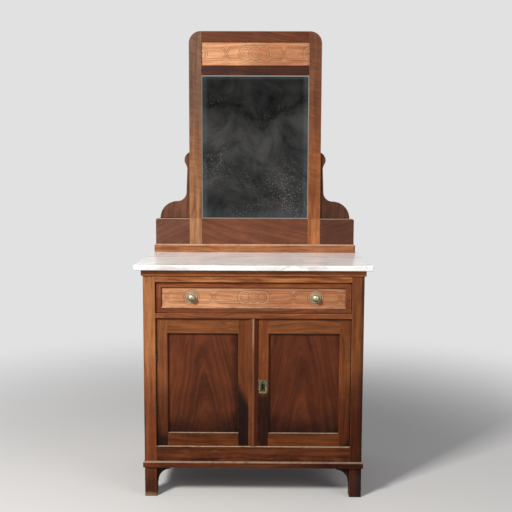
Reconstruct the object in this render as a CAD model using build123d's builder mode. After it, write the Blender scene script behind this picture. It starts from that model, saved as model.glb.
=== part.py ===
from build123d import *
import os

# Washstand with a marble top, one wide drawer, two panelled doors and a fixed mirror on the back edge.
# The front faces -Y, +X is to the right and the feet stand on Z = 0.
# Every size is in millimetres.

# Marble top
marble_width = 900.0
marble_depth = 500.0
marble_thickness = 20.0
marble_ease = 2.5
marble_corner = 4.0
front_overhang = 28.0
side_overhang = 30.0

# Case, from the floor up
post_size = 46.0
foot_clear = 117.0
bottom_rail_height = 82.5
door_opening_height = 505.0
divider_height = 17.0
drawer_opening_height = 121.5
top_rail_height = 47.0
side_thickness = 20.0
post_ease = 1.2

# Joinery
tenon_length = 20.0
tenon_thickness = 10.0
tenon_shoulder = 4.0
panel_tongue = 6.0
panel_float = 0.5
side_panel_thickness = 10.0
joint_slip = 0.2

# Back, floor and inside of the case
back_board_thickness = 8.0
back_board_count = 4
back_rebate = 10.0
board_tongue = 4.0
board_tongue_thickness = 2.6
back_rail_thickness = 22.0
floor_thickness = 14.0
floor_lip = 8.0
dust_board_thickness = 6.0
runner_reach = 24.0
runner_lip = 4.0
guide_height = 23.0
kicker_height = 18.0
stop_strip_width = 12.0
stop_strip_height = 10.0
shelf_thickness = 16.0
shelf_top = 466.0
shelf_setback = 10.0
shelf_end_gap = 2.0
shelf_batten_width = 12.0
shelf_batten_height = 20.0

# Applied mouldings and foot brackets
moulding_reach = 6.0
cornice_height = 23.0
cornice_ease = 1.5
plinth_height = 25.0
plinth_bevel = 5.5
foot_bracket_width = 51.0
foot_bracket_height = 63.0
foot_bracket_end = 12.0
foot_bracket_foot = 4.0
foot_bracket_thickness = 12.0
foot_bracket_setback = 15.0

# Drawer
drawer_gap = 2.0
slide_gap = 0.3
drawer_recess = 9.0
drawer_moulding_width = 22.0
drawer_moulding_thickness = 10.0
drawer_moulding_bevel = 3.0
mitre_slip = 0.1
carved_panel_thickness = 4.0
drawer_front_thickness = 18.0
drawer_side_thickness = 10.0
drawer_side_drop = 9.0
drawer_groove = 5.0
drawer_bottom_thickness = 6.0
drawer_bottom_rise = 11.0
drawer_end_gap = 16.0
dovetail_count = 4
dovetail_length = 12.0
dovetail_root = 15.0
dovetail_flare = 2.5
knob_from_end = 114.0
knob_radius = 13.5
knob_reach = 21.0
knob_neck_radius = 6.0
knob_neck_length = 6.0
knob_flare = 5.0
knob_shank_radius = 3.0
knob_nut_radius = 8.0
knob_nut_thickness = 4.0
rosette_radius = 20.0
rosette_thickness = 2.4
rosette_lobes = 14
rosette_lobe_radius = 3.4

# Doors
door_gap = 2.0
door_recess = 10.0
door_thickness = 20.0
stop_gap = 0.5
hinge_stile_width = 42.0
panel_from_centre = 58.0
door_top_rail = 58.0
door_bottom_rail = 50.0
door_tenon_length = 24.0
door_tenon_thickness = 7.0
door_panel_thickness = 6.0
door_panel_recess = 10.0
astragal_half = 18.0
astragal_rise = 8.0
astragal_round = 2.5

# Butt hinges
hinge_height = 50.0
hinge_inset = 142.0
hinge_knuckles = 5
knuckle_gap = 0.3
barrel_radius = 3.2
barrel_stand = 4.0
barrel_clearance = 0.4
pin_radius = 1.5
pin_clearance = 0.05
pin_head_radius = 2.4
pin_head_height = 1.6
leaf_thickness = 1.2
leaf_width = 18.0

# Cupboard lock, its keyhole and the flush bolt of the left door
lock_height = 442.0
lock_case_width = 30.0
lock_case_height = 52.0
lock_case_thickness = 9.0
lock_wall = 2.0
lock_bolt_height = 12.0
lock_bolt_setback = 0.5
lock_bolt_travel = 8.0
lock_bolt_length = 24.0
escutcheon_width = 33.0
escutcheon_height = 54.0
escutcheon_thickness = 1.5
escutcheon_corner = 9.0
keyhole_offset = 16.5
keyhole_radius = 4.5
keyhole_slot = 6.0
keyhole_drop = 19.0
bolt_from_centre = 28.0
bolt_radius = 3.0
bolt_length = 50.0
bolt_travel = 10.0
bolt_setback = 1.0
bolt_depth = 4.5
bolt_hole_wall = 12.0
bolt_button_height = 8.0
bolt_button_reach = 4.0
bolt_plate_width = 12.0
bolt_plate_height = 68.0
bolt_plate_thickness = 1.2

# Mirror
mirror_base_setback = 14.5
mirror_base_height = 36.0
mirror_base_depth = 28.0
mirror_base_bevel = 6.0
mirror_base_corner = 10.0
wing_setback = 7.5
wing_width = 146.5
mirror_stile_width = 52.5
mirror_thickness = 22.0
mirror_low_rail = 111.0
glass_height = 608.5
mirror_middle_rail = 40.5
carved_height = 97.0
mirror_top_rail_height = 44.0
mirror_corner = 50.0
mirror_tenon_length = 30.0
mirror_tenon_shoulder = 8.0
rebate_width = 7.0
rebate_lip = 8.0
glass_thickness = 3.0
glass_slip = 0.5
backing_thickness = 6.0
carved_recess = 6.0
carved_thickness = 8.0
wing_corner = 9.0
wing_tenon_length = 12.0
wing_tenon_shoulder = 20.0
bracket_recess = 10.0
bracket_reach = 128.0
bracket_rise = 284.0
bracket_lobe = 74.0
bracket_hollow = 40.0
bracket_neck = 10.0
bracket_neck_top = 215.0
bracket_ear = 20.5
bracket_ear_height = 240.0
bracket_ear_bulge = 9.2
bracket_nick_bulge = 1.5
batten_width = 44.0
batten_thickness = 18.0
batten_low = 640.0
batten_high = 1640.0

# Places across the width
x_case = marble_width / 2 - side_overhang
x_in = x_case - post_size
x_side = x_case - side_thickness
x_side_panel = x_case - side_thickness / 2
x_mirror_base = marble_width / 2 - mirror_base_setback
x_wing = x_mirror_base - wing_setback
x_mirror = x_wing - wing_width
x_glass = x_mirror - mirror_stile_width

# Places along the depth: the whole stands centred on Y = 0
y_marble = -(marble_depth + batten_thickness) / 2
y_back = y_marble + marble_depth
y_case = y_marble + front_overhang
y_front_post = y_case + post_size
y_rear_post = y_back - post_size
y_boards = y_back - back_board_thickness
y_door = y_case + door_recess
y_door_back = y_door + door_thickness
y_rail_back = y_door_back + stop_gap
y_mirror = y_back - mirror_thickness

# Places up the height
z_door_low = foot_clear + bottom_rail_height
z_door_high = z_door_low + door_opening_height
z_drawer_low = z_door_high + divider_height
z_drawer_high = z_drawer_low + drawer_opening_height
z_case = z_drawer_high + top_rail_height
z_marble = z_case + marble_thickness


def grown(span, by):
    """The span with both ends moved outwards."""
    return (span[0] - by, span[1] + by)


def flipped(span):
    """The same span on the other side of the centre."""
    return (-span[1], -span[0])


def both_ways(half):
    """The span from minus to plus a half width."""
    return (-half, half)


def block(x, y, z, mode=Mode.ADD):
    """A squared piece of timber between its x, y and z faces."""
    with BuildSketch(Plane.XY.offset(z[0])) as outline:
        with Locations(((x[0] + x[1]) / 2, (y[0] + y[1]) / 2)):
            Rectangle(x[1] - x[0], y[1] - y[0])
    extrude(outline.sketch, amount=z[1] - z[0], mode=mode)


def post_round(radius, at_x, at_y, z, mode=Mode.ADD):
    """An upright cylinder."""
    with BuildSketch(Plane.XY.offset(z[0])) as outline:
        with Locations((at_x, at_y)):
            Circle(radius)
    extrude(outline.sketch, amount=z[1] - z[0], mode=mode)


def front_plane(y):
    """An upright plane at depth y, seen from the front, with X to the right and Z up."""
    return Plane.XZ.offset(-y)


def write(piece, name):
    """Labels the finished piece and writes it."""
    piece.part.label = name
    export_step(piece.part, f"parts/{name}.step")


# Spans that several pieces share
posts_x = (x_in, x_case)
side_x = (x_side, x_case)
side_y = (y_front_post, y_rear_post)
front_y = (y_case, y_rail_back)
bottom_z = (foot_clear, z_door_low)
divider_z = (z_door_high, z_drawer_low)
top_z = (z_drawer_high, z_case)
front_rails = {"bottom_front_rail": bottom_z, "divider_rail": divider_z, "top_front_rail": top_z}
front_tenon_y = (
    (front_y[0] + front_y[1] - tenon_thickness) / 2,
    (front_y[0] + front_y[1] + tenon_thickness) / 2,
)
back_rail_y = (y_boards - back_rail_thickness, y_boards)
back_tenon_y = (
    (back_rail_y[0] + back_rail_y[1] - tenon_thickness) / 2,
    (back_rail_y[0] + back_rail_y[1] + tenon_thickness) / 2,
)
side_tenon_x = (x_side_panel - tenon_thickness / 2, x_side_panel + tenon_thickness / 2)
side_panel_x = (x_side_panel - side_panel_thickness / 2, x_side_panel + side_panel_thickness / 2)
side_shoulder = panel_tongue + 2 * panel_float
panel_z = (z_door_low, z_drawer_high)
groove_depth = panel_tongue + panel_float
floor_z = (z_door_low + floor_lip - floor_thickness, z_door_low + floor_lip)
boards_z = (floor_z[0], z_case)

# Hinge places: the pin stands in the gap between post and door, in front of the door's face
x_hinge = x_in - door_gap / 2
y_hinge = y_door - barrel_stand
door_z = (z_door_low + door_gap, z_door_high - door_gap)
hinge_spans = [
    (middle - hinge_height / 2, middle + hinge_height / 2)
    for middle in (door_z[0] + hinge_inset, door_z[1] - hinge_inset)
]
leaf_y = (y_door, y_door + leaf_width)

# Corner posts: mortises for the rails, a groove for the side panel, recesses for the hinges
with BuildPart() as front_right_post:
    block(posts_x, (y_case, y_front_post), (0, z_case))
    chamfer(front_right_post.edges().filter_by(Axis.Z), post_ease)
    for rail_z in front_rails.values():
        block(
            (x_in, x_in + tenon_length + joint_slip),
            grown(front_tenon_y, joint_slip),
            grown(rail_z, joint_slip - tenon_shoulder),
            Mode.SUBTRACT,
        )
    for rail_z in (bottom_z, top_z):
        block(
            grown(side_tenon_x, joint_slip),
            (y_front_post - tenon_length - joint_slip, y_front_post),
            grown(rail_z, joint_slip - side_shoulder),
            Mode.SUBTRACT,
        )
    block(
        grown(side_panel_x, joint_slip),
        (y_front_post - groove_depth, y_front_post),
        grown(panel_z, groove_depth),
        Mode.SUBTRACT,
    )
    for hinge_z in hinge_spans:
        block((x_in, x_in + leaf_thickness), (y_hinge, leaf_y[1]), hinge_z, Mode.SUBTRACT)
        post_round(
            barrel_radius + barrel_clearance,
            x_hinge,
            y_hinge,
            grown(hinge_z, pin_head_height + barrel_clearance),
            Mode.SUBTRACT,
        )
write(front_right_post, "front_right_post")

with BuildPart() as front_left_post:
    mirror(front_right_post.part, about=Plane.YZ)
write(front_left_post, "front_left_post")

with BuildPart() as rear_posts:
    block(posts_x, (y_rear_post, y_back), (0, z_case))
    chamfer(rear_posts.edges().filter_by(Axis.Z), post_ease)
    for rail_z in (bottom_z, top_z):
        block(
            grown(side_tenon_x, joint_slip),
            (y_rear_post, y_rear_post + tenon_length + joint_slip),
            grown(rail_z, joint_slip - side_shoulder),
            Mode.SUBTRACT,
        )
    block(
        grown(side_panel_x, joint_slip),
        (y_rear_post, y_rear_post + groove_depth),
        grown(panel_z, groove_depth),
        Mode.SUBTRACT,
    )
    block(
        (x_in, x_in + tenon_length + joint_slip),
        grown(back_tenon_y, joint_slip),
        grown(top_z, joint_slip - tenon_shoulder),
        Mode.SUBTRACT,
    )
    block((x_in, x_in + back_rebate), (y_boards, y_back), boards_z, Mode.SUBTRACT)
    mirror(about=Plane.YZ)
write(rear_posts, "rear_posts")

# Flush bolt of the left door, whose hole is in the divider rail
x_bolt = -bolt_from_centre
y_bolt = y_door_back - bolt_depth
bolt_top = door_z[1] - bolt_setback
bolt_z = (bolt_top - bolt_length, bolt_top)

# Front rails, tenoned between the posts
for rail_name, rail_z in front_rails.items():
    with BuildPart() as front_rail:
        block(both_ways(x_in), front_y, rail_z)
        block(both_ways(x_in + tenon_length), front_tenon_y, grown(rail_z, -tenon_shoulder))
        if rail_name == "divider_rail":
            post_round(
                bolt_radius + slide_gap,
                x_bolt,
                y_bolt,
                (rail_z[0], bolt_top + bolt_travel + bolt_setback),
                Mode.SUBTRACT,
            )
    write(front_rail, rail_name)

# Side rails, one pair above and one below, grooved for the side panels
for rail_name, rail_z, groove_z in (
    ("side_top_rails", top_z, (top_z[0], top_z[0] + groove_depth)),
    ("side_bottom_rails", bottom_z, (bottom_z[1] - groove_depth, bottom_z[1])),
):
    with BuildPart() as side_rails:
        block(side_x, side_y, rail_z)
        block(side_tenon_x, grown(side_y, tenon_length), grown(rail_z, -side_shoulder))
        block(grown(side_panel_x, joint_slip), side_y, groove_z, Mode.SUBTRACT)
        mirror(about=Plane.YZ)
    write(side_rails, rail_name)

for panel_name, panel_x in (
    ("right_side_panel", side_panel_x),
    ("left_side_panel", flipped(side_panel_x)),
):
    with BuildPart() as side_panel:
        block(panel_x, grown(side_y, panel_tongue), grown(panel_z, panel_tongue))
    write(side_panel, panel_name)

# Back: a rail between the rear posts and tongued boards in their rebates
with BuildPart() as back_top_rail:
    block(both_ways(x_in), back_rail_y, top_z)
    block(both_ways(x_in + tenon_length), back_tenon_y, grown(top_z, -tenon_shoulder))
write(back_top_rail, "back_top_rail")

board_width = 2 * (x_in + back_rebate) / back_board_count
tongue_y = (
    (y_boards + y_back - board_tongue_thickness) / 2,
    (y_boards + y_back + board_tongue_thickness) / 2,
)
with BuildPart() as back_boards:
    for number in range(back_board_count):
        left = number * board_width - x_in - back_rebate
        right = left + board_width - joint_slip
        with BuildPart(mode=Mode.PRIVATE) as back_board:
            block((left, right), (y_boards, y_back), boards_z)
            if number > 0:
                block(
                    (left, left + board_tongue),
                    grown(tongue_y, joint_slip),
                    boards_z,
                    Mode.SUBTRACT,
                )
            if number < back_board_count - 1:
                block((right, right + board_tongue), tongue_y, boards_z)
        add(back_board.part.solids())
write(back_boards, "back_boards")

# Cupboard floor, whose front edge stands up behind the doors as their stop
with BuildPart() as bottom_board:
    block(both_ways(x_side), (y_rail_back, y_boards), floor_z)
    for corner_x in (posts_x, flipped(posts_x)):
        block(corner_x, (y_rail_back, y_front_post), floor_z, Mode.SUBTRACT)
        block(corner_x, (y_rear_post, y_boards), floor_z, Mode.SUBTRACT)
write(bottom_board, "bottom_board")

# Dust board under the drawer, held in the runners
x_runner = x_in - runner_reach
dust_z = (z_door_high, z_door_high + dust_board_thickness)
with BuildPart() as dust_board:
    block(both_ways(x_runner + panel_tongue), (y_rail_back, y_rear_post), dust_z)
    for edge_x in ((x_runner, x_runner + panel_tongue), (-x_runner - panel_tongue, -x_runner)):
        block(edge_x, (y_rail_back, y_front_post), dust_z, Mode.SUBTRACT)
write(dust_board, "dust_board")

# Drawer runners with their guides, and the kickers over the drawer
with BuildPart() as drawer_runners:
    block((x_runner, x_side), side_y, (dust_z[0] - runner_lip, z_drawer_low))
    block((x_in, x_side), side_y, (z_drawer_low, z_drawer_low + guide_height))
    block((x_runner, x_in), (y_rail_back, y_front_post), (dust_z[1], z_drawer_low))
    block((x_runner, x_runner + groove_depth), side_y, grown(dust_z, joint_slip), Mode.SUBTRACT)
    mirror(about=Plane.YZ)
write(drawer_runners, "drawer_runners")

with BuildPart() as drawer_kickers:
    block((x_runner, x_side), side_y, (z_drawer_high, z_drawer_high + kicker_height))
    mirror(about=Plane.YZ)
write(drawer_kickers, "drawer_kickers")

with BuildPart() as door_stop_strip:
    block(
        both_ways(x_in),
        (y_rail_back, y_rail_back + stop_strip_width),
        (z_door_high - stop_strip_height, z_door_high),
    )
write(door_stop_strip, "door_stop_strip")

# Shelf on battens that cross from the front post to the rear one
shelf_z = (shelf_top - shelf_thickness, shelf_top)
with BuildPart() as shelf:
    block(both_ways(x_in - shelf_end_gap), (y_rail_back + shelf_setback, y_boards), shelf_z)
write(shelf, "shelf")

with BuildPart() as shelf_battens:
    block(
        (x_in - shelf_batten_width, x_in),
        (y_rail_back + shelf_setback, y_boards),
        (shelf_z[0] - shelf_batten_height, shelf_z[0]),
    )
    mirror(about=Plane.YZ)
write(shelf_battens, "shelf_battens")


def mitred_strip(outer_half, outer_y, inner_half, inner_y, z):
    """The front length of a moulding, mitred at both ends."""
    with BuildSketch(Plane.XY.offset(z[0])) as outline:
        with BuildLine():
            Polyline(
                (-outer_half, outer_y),
                (outer_half, outer_y),
                (inner_half, inner_y),
                (-inner_half, inner_y),
                close=True,
            )
        make_face()
    extrude(outline.sketch, amount=z[1] - z[0])


def return_strip(outer_x, outer_y, inner_x, inner_y, back_y, z):
    """The side length of a moulding, mitred at its front end."""
    with BuildSketch(Plane.XY.offset(z[0])) as outline:
        with BuildLine():
            Polyline(
                (outer_x, outer_y),
                (outer_x, back_y),
                (inner_x, back_y),
                (inner_x, inner_y),
                close=True,
            )
        make_face()
    extrude(outline.sketch, amount=z[1] - z[0])


# Cornice under the marble and plinth moulding over the feet
x_mould = x_case + moulding_reach
y_mould = y_case - moulding_reach
cornice_z = (z_case - cornice_height, z_case)
plinth_z = (foot_clear, foot_clear + plinth_height)

with BuildPart() as cornice_front:
    mitred_strip(x_mould, y_mould, x_case, y_case, cornice_z)
    cornice_low = cornice_front.edges().filter_by(Axis.X).group_by(Axis.Z)[0]
    chamfer(cornice_low.sort_by(Axis.Y)[0], cornice_ease)
write(cornice_front, "cornice_front")

with BuildPart() as cornice_returns:
    return_strip(x_mould, y_mould, x_case, y_case, y_back, cornice_z)
    return_low = cornice_returns.edges().filter_by(Axis.Y).group_by(Axis.Z)[0]
    chamfer(return_low.sort_by(Axis.X)[-1], cornice_ease)
    mirror(about=Plane.YZ)
write(cornice_returns, "cornice_returns")

with BuildPart() as plinth_moulding_front:
    mitred_strip(x_mould, y_mould, x_case, y_case, plinth_z)
    plinth_top = plinth_moulding_front.edges().filter_by(Axis.X).group_by(Axis.Z)[-1]
    chamfer(plinth_top.sort_by(Axis.Y)[0], plinth_bevel)
write(plinth_moulding_front, "plinth_moulding_front")

with BuildPart() as plinth_moulding_returns:
    return_strip(x_mould, y_mould, x_case, y_case, y_back, plinth_z)
    return_top = plinth_moulding_returns.edges().filter_by(Axis.Y).group_by(Axis.Z)[-1]
    chamfer(return_top.sort_by(Axis.X)[-1], plinth_bevel)
    mirror(about=Plane.YZ)
write(plinth_moulding_returns, "plinth_moulding_returns")

# Foot brackets: a hollow-cut spandrel between each front foot and the bottom rail
y_foot_bracket = y_case + foot_bracket_setback
with BuildPart() as foot_brackets:
    with BuildSketch(front_plane(y_foot_bracket)):
        with BuildLine():
            corner = (x_in, foot_clear)
            rail_end = (x_in - foot_bracket_width, foot_clear)
            rail_tip = (x_in - foot_bracket_width, foot_clear - foot_bracket_end)
            foot_tip = (x_in - foot_bracket_foot, foot_clear - foot_bracket_height)
            foot_end = (x_in, foot_clear - foot_bracket_height)
            Polyline(foot_tip, foot_end, corner, rail_end, rail_tip)
            EllipticalCenterArc(
                (rail_tip[0], foot_tip[1]),
                foot_tip[0] - rail_tip[0],
                rail_tip[1] - foot_tip[1],
                start_angle=0,
                arc_size=90,
            )
        make_face()
    extrude(amount=-foot_bracket_thickness)
    mirror(about=Plane.YZ)
write(foot_brackets, "foot_brackets")

# Marble top with eased edges
with BuildPart() as marble_top:
    block(both_ways(marble_width / 2), (y_marble, y_back), (z_case, z_marble))
    fillet(marble_top.edges().filter_by(Axis.Z), marble_corner)
    front_and_sides = marble_top.edges().filter_by(Plane.XY).filter_by(
        lambda edge: edge.center().Y < y_back - marble_corner
    )
    fillet(front_and_sides, marble_ease)
write(marble_top, "marble_top")


def knuckle_spans(hinge_z, first):
    """Every second knuckle of a hinge, from the first or the second up."""
    pitch = hinge_height / hinge_knuckles
    spans = []
    for number in range(first, hinge_knuckles, 2):
        low = hinge_z[0] + number * pitch
        spans.append((low + knuckle_gap / 2, low + pitch - knuckle_gap / 2))
    return spans


def hinge_leaf(plate_x, hinge_z, first):
    """A leaf let into its timber, with its knuckles round the pin."""
    block(plate_x, leaf_y, hinge_z)
    for knuckle_z in knuckle_spans(hinge_z, first):
        block(plate_x, (y_hinge, y_door), knuckle_z)
        post_round(barrel_radius, x_hinge, y_hinge, knuckle_z)


# Hinges: the leaves on the posts carry the pins, the leaves on the doors turn round them
with BuildPart() as hinge_case_leaves:
    for hinge_z in hinge_spans:
        hinge_leaf((x_in, x_in + leaf_thickness), hinge_z, 0)
        post_round(pin_radius, x_hinge, y_hinge, hinge_z)
        for head_z in (
            (hinge_z[0] - pin_head_height, hinge_z[0] + knuckle_gap),
            (hinge_z[1] - knuckle_gap, hinge_z[1] + pin_head_height),
        ):
            post_round(pin_head_radius, x_hinge, y_hinge, head_z)
    mirror(about=Plane.YZ)
write(hinge_case_leaves, "hinge_case_leaves")

with BuildPart() as right_door_leaves:
    for hinge_z in hinge_spans:
        hinge_leaf((x_in - door_gap - leaf_thickness, x_in - door_gap), hinge_z, 1)
        post_round(pin_radius + pin_clearance, x_hinge, y_hinge, hinge_z, Mode.SUBTRACT)
write(right_door_leaves, "right_door_leaves")

with BuildPart() as left_door_leaves:
    mirror(right_door_leaves.part, about=Plane.YZ)
write(left_door_leaves, "left_door_leaves")

# Doors: stiles and rails round a sunk panel
x_door_edge = x_in - door_gap
x_panel_out = x_door_edge - hinge_stile_width
door_y = (y_door, y_door_back)
door_panel_y = (y_door + door_panel_recess, y_door + door_panel_recess + door_panel_thickness)
door_tenon_y = (
    (y_door + y_door_back - door_tenon_thickness) / 2,
    (y_door + y_door_back + door_tenon_thickness) / 2,
)
door_rails = ((door_z[0], door_z[0] + door_bottom_rail), (door_z[1] - door_top_rail, door_z[1]))
door_sight_z = (door_rails[0][1], door_rails[1][0])
door_shoulder = groove_depth + panel_float
x_lock_edge = astragal_half + door_gap

# Flush bolt and lock spans
bolt_pocket_z = (bolt_z[0] - slide_gap, door_z[1] - bolt_hole_wall)
bolt_plate_y = (y_door_back - bolt_plate_thickness, y_door_back)
bolt_plate_z = (bolt_pocket_z[1] - bolt_plate_height, bolt_pocket_z[1])
lock_z = (lock_height - lock_case_height / 2, lock_height + lock_case_height / 2)
lock_y = (y_door_back - lock_case_thickness, y_door_back)
lock_x = (x_lock_edge, x_lock_edge + lock_case_width)
lock_bolt_x = (x_lock_edge + lock_bolt_setback, x_lock_edge + lock_bolt_setback + lock_bolt_length)
lock_bolt_y = (lock_y[0] + lock_wall + slide_gap, lock_y[1] - lock_wall - slide_gap)
lock_bolt_z = (lock_z[1] - lock_wall - slide_gap - lock_bolt_height, lock_z[1] - lock_wall - slide_gap)
x_keyhole = x_lock_edge + keyhole_offset


def keyhole(y, depth):
    """Cuts the keyhole, round above and a slot below, from the face at y."""
    with BuildSketch(front_plane(y)) as outline:
        with Locations((x_keyhole, lock_height)):
            Circle(keyhole_radius)
        with Locations((x_keyhole, lock_height - keyhole_drop / 2)):
            Rectangle(keyhole_slot, keyhole_drop)
    extrude(outline.sketch, amount=-depth, mode=Mode.SUBTRACT)


def stile(x, inner_x, inward):
    """A door stile between its x faces, mortised and grooved on its inner edge."""
    block(x, door_y, door_z)
    for rail_z in door_rails:
        end_x = inner_x + inward * (door_tenon_length + joint_slip)
        block(
            (min(inner_x, end_x), max(inner_x, end_x)),
            grown(door_tenon_y, joint_slip),
            grown(rail_z, joint_slip - door_shoulder),
            Mode.SUBTRACT,
        )
    groove_end = inner_x + inward * groove_depth
    block(
        (min(inner_x, groove_end), max(inner_x, groove_end)),
        grown(door_panel_y, joint_slip),
        grown(door_sight_z, groove_depth),
        Mode.SUBTRACT,
    )


with BuildPart() as right_hinge_stile:
    stile((x_panel_out, x_door_edge), x_panel_out, 1)
    for hinge_z in hinge_spans:
        block((x_door_edge - leaf_thickness, x_door_edge), leaf_y, hinge_z, Mode.SUBTRACT)
write(right_hinge_stile, "right_hinge_stile")

with BuildPart() as left_hinge_stile:
    mirror(right_hinge_stile.part, about=Plane.YZ)
write(left_hinge_stile, "left_hinge_stile")

with BuildPart() as right_meeting_stile:
    stile((x_lock_edge, panel_from_centre), panel_from_centre, -1)
    block(lock_x, lock_y, lock_z, Mode.SUBTRACT)
    keyhole(y_door, door_thickness)
write(right_meeting_stile, "right_meeting_stile")

# The left meeting stile carries the astragal and is the wider one
with BuildPart() as left_meeting_stile:
    stile((-panel_from_centre, astragal_half), -panel_from_centre, 1)
    with BuildSketch(Plane.XY.offset(door_z[0])) as astragal:
        with BuildLine():
            Polyline(
                (-astragal_half, y_door),
                (0, y_door - astragal_rise),
                (astragal_half, y_door),
                close=True,
            )
        make_face()
        fillet(astragal.vertices().group_by(Axis.Y)[0], astragal_round)
    extrude(amount=door_z[1] - door_z[0])
    block(
        grown((x_bolt, x_bolt), bolt_radius + slide_gap),
        (y_bolt - bolt_radius - slide_gap, y_door_back),
        bolt_pocket_z,
        Mode.SUBTRACT,
    )
    post_round(bolt_radius + slide_gap, x_bolt, y_bolt, (bolt_z[0], door_z[1]), Mode.SUBTRACT)
    block(grown((x_bolt, x_bolt), bolt_plate_width / 2), bolt_plate_y, bolt_plate_z, Mode.SUBTRACT)
    block(
        (astragal_half - lock_bolt_travel, astragal_half),
        grown(lock_bolt_y, slide_gap),
        grown(lock_bolt_z, slide_gap),
        Mode.SUBTRACT,
    )
write(left_meeting_stile, "left_meeting_stile")

for side_name, sight_x in (
    ("right", (panel_from_centre, x_panel_out)),
    ("left", (-x_panel_out, -panel_from_centre)),
):
    with BuildPart() as door_rail_pair:
        for rail_z in door_rails:
            block(sight_x, door_y, rail_z)
            block(grown(sight_x, door_tenon_length), door_tenon_y, grown(rail_z, -door_shoulder))
        block(sight_x, grown(door_panel_y, joint_slip), grown(door_sight_z, groove_depth), Mode.SUBTRACT)
    write(door_rail_pair, f"{side_name}_door_rails")
    with BuildPart() as door_panel:
        block(grown(sight_x, panel_tongue), door_panel_y, grown(door_sight_z, panel_tongue))
    write(door_panel, f"{side_name}_door_panel")

# Lock: a case let into the back of the right meeting stile, with a square bolt
with BuildPart() as lock_case:
    block(lock_x, lock_y, lock_z)
    block(
        (lock_x[0], lock_bolt_x[1] + slide_gap),
        grown(lock_bolt_y, slide_gap),
        grown(lock_bolt_z, slide_gap),
        Mode.SUBTRACT,
    )
    keyhole(lock_y[0], lock_wall + slide_gap)
write(lock_case, "lock_case")

with BuildPart() as lock_bolt:
    block(lock_bolt_x, lock_bolt_y, lock_bolt_z)
write(lock_bolt, "lock_bolt")

with BuildPart() as escutcheon:
    with BuildSketch(front_plane(y_door)) as plate:
        with Locations((x_keyhole, lock_height - keyhole_drop / 2 + keyhole_radius)):
            Rectangle(escutcheon_width, escutcheon_height)
        fillet(plate.vertices().group_by(Axis.Z)[0], escutcheon_corner)
    extrude(amount=escutcheon_thickness)
    keyhole(y_door - escutcheon_thickness, escutcheon_thickness)
write(escutcheon, "escutcheon")

# Flush bolt: a round rod behind a slotted plate, pushed up by its button
with BuildPart() as left_bolt:
    post_round(bolt_radius, x_bolt, y_bolt, bolt_z)
    block(
        grown((x_bolt, x_bolt), bolt_radius - slide_gap),
        (y_bolt, y_door_back + bolt_button_reach),
        (bolt_z[0], bolt_z[0] + bolt_button_height),
    )
write(left_bolt, "left_bolt")

with BuildPart() as bolt_plate:
    block(grown((x_bolt, x_bolt), bolt_plate_width / 2), bolt_plate_y, bolt_plate_z)
    block(
        grown((x_bolt, x_bolt), bolt_radius),
        bolt_plate_y,
        (bolt_z[0] - slide_gap, bolt_z[0] + bolt_button_height + bolt_travel + slide_gap),
        Mode.SUBTRACT,
    )
write(bolt_plate, "bolt_plate")

# Drawer spans
x_drawer = x_in - drawer_gap
x_drawer_inside = x_drawer - drawer_side_thickness
x_carved = x_drawer - drawer_moulding_width
y_drawer_face = y_case + drawer_recess
y_drawer_front = y_drawer_face + drawer_moulding_thickness
y_drawer_inside = y_drawer_front + drawer_front_thickness
y_drawer_end = back_rail_y[0] - drawer_end_gap
y_drawer_back = y_drawer_end - drawer_side_thickness
drawer_z = (z_drawer_low + drawer_gap, z_drawer_high - drawer_gap)
drawer_side_z = (z_drawer_low + slide_gap, drawer_z[1] - drawer_side_drop)
drawer_bottom_low = drawer_side_z[0] + drawer_bottom_rise
drawer_bottom_z = (drawer_bottom_low, drawer_bottom_low + drawer_bottom_thickness)
y_carved_face = y_drawer_front - carved_panel_thickness
z_knob = (drawer_z[0] + drawer_z[1]) / 2
knob_places = [(side * (x_carved - knob_from_end), z_knob) for side in (-1, 1)]


def dovetails(slip):
    """The tails of a drawer side, seen from the side, each wider at its end."""
    pitch = (drawer_side_z[1] - drawer_side_z[0]) / dovetail_count
    for number in range(dovetail_count):
        middle = drawer_side_z[0] + (number + 1 / 2) * pitch
        root = dovetail_root / 2 + slip
        tip = root + dovetail_flare
        y_tip = y_drawer_inside - dovetail_length - slip
        Polygon(
            (y_drawer_inside, middle - root),
            (y_drawer_inside, middle + root),
            (y_tip, middle + tip),
            (y_tip, middle - tip),
            align=None,
        )


# Drawer front, its ends socketed for the half-blind dovetails of the sides
with BuildPart() as drawer_front:
    block(both_ways(x_drawer), (y_drawer_front, y_drawer_inside), drawer_z)
    for socket_x in (x_drawer_inside, -x_drawer):
        with BuildSketch(Plane.YZ.offset(socket_x)) as sockets:
            dovetails(joint_slip / 2)
        extrude(amount=drawer_side_thickness, mode=Mode.SUBTRACT)
    block(
        both_ways(x_drawer_inside + drawer_groove),
        (y_drawer_inside - drawer_groove - joint_slip, y_drawer_inside),
        grown(drawer_bottom_z, joint_slip),
        Mode.SUBTRACT,
    )
    with BuildSketch(front_plane(y_drawer_front)):
        with Locations(*knob_places):
            Circle(knob_shank_radius + joint_slip)
    extrude(amount=-drawer_front_thickness, mode=Mode.SUBTRACT)
write(drawer_front, "drawer_front")

with BuildPart() as drawer_sides:
    block(
        (x_drawer_inside, x_drawer),
        (y_drawer_inside, y_drawer_end),
        drawer_side_z,
    )
    with BuildSketch(Plane.YZ.offset(x_drawer_inside)):
        dovetails(0)
    extrude(amount=drawer_side_thickness)
    groove_x = (x_drawer_inside, x_drawer_inside + drawer_groove + joint_slip)
    block(
        groove_x,
        (y_drawer_inside - dovetail_length, y_drawer_end),
        grown(drawer_bottom_z, joint_slip),
        Mode.SUBTRACT,
    )
    block(groove_x, (y_drawer_back, y_drawer_end), (drawer_bottom_z[1], drawer_side_z[1]), Mode.SUBTRACT)
    mirror(about=Plane.YZ)
write(drawer_sides, "drawer_sides")

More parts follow.
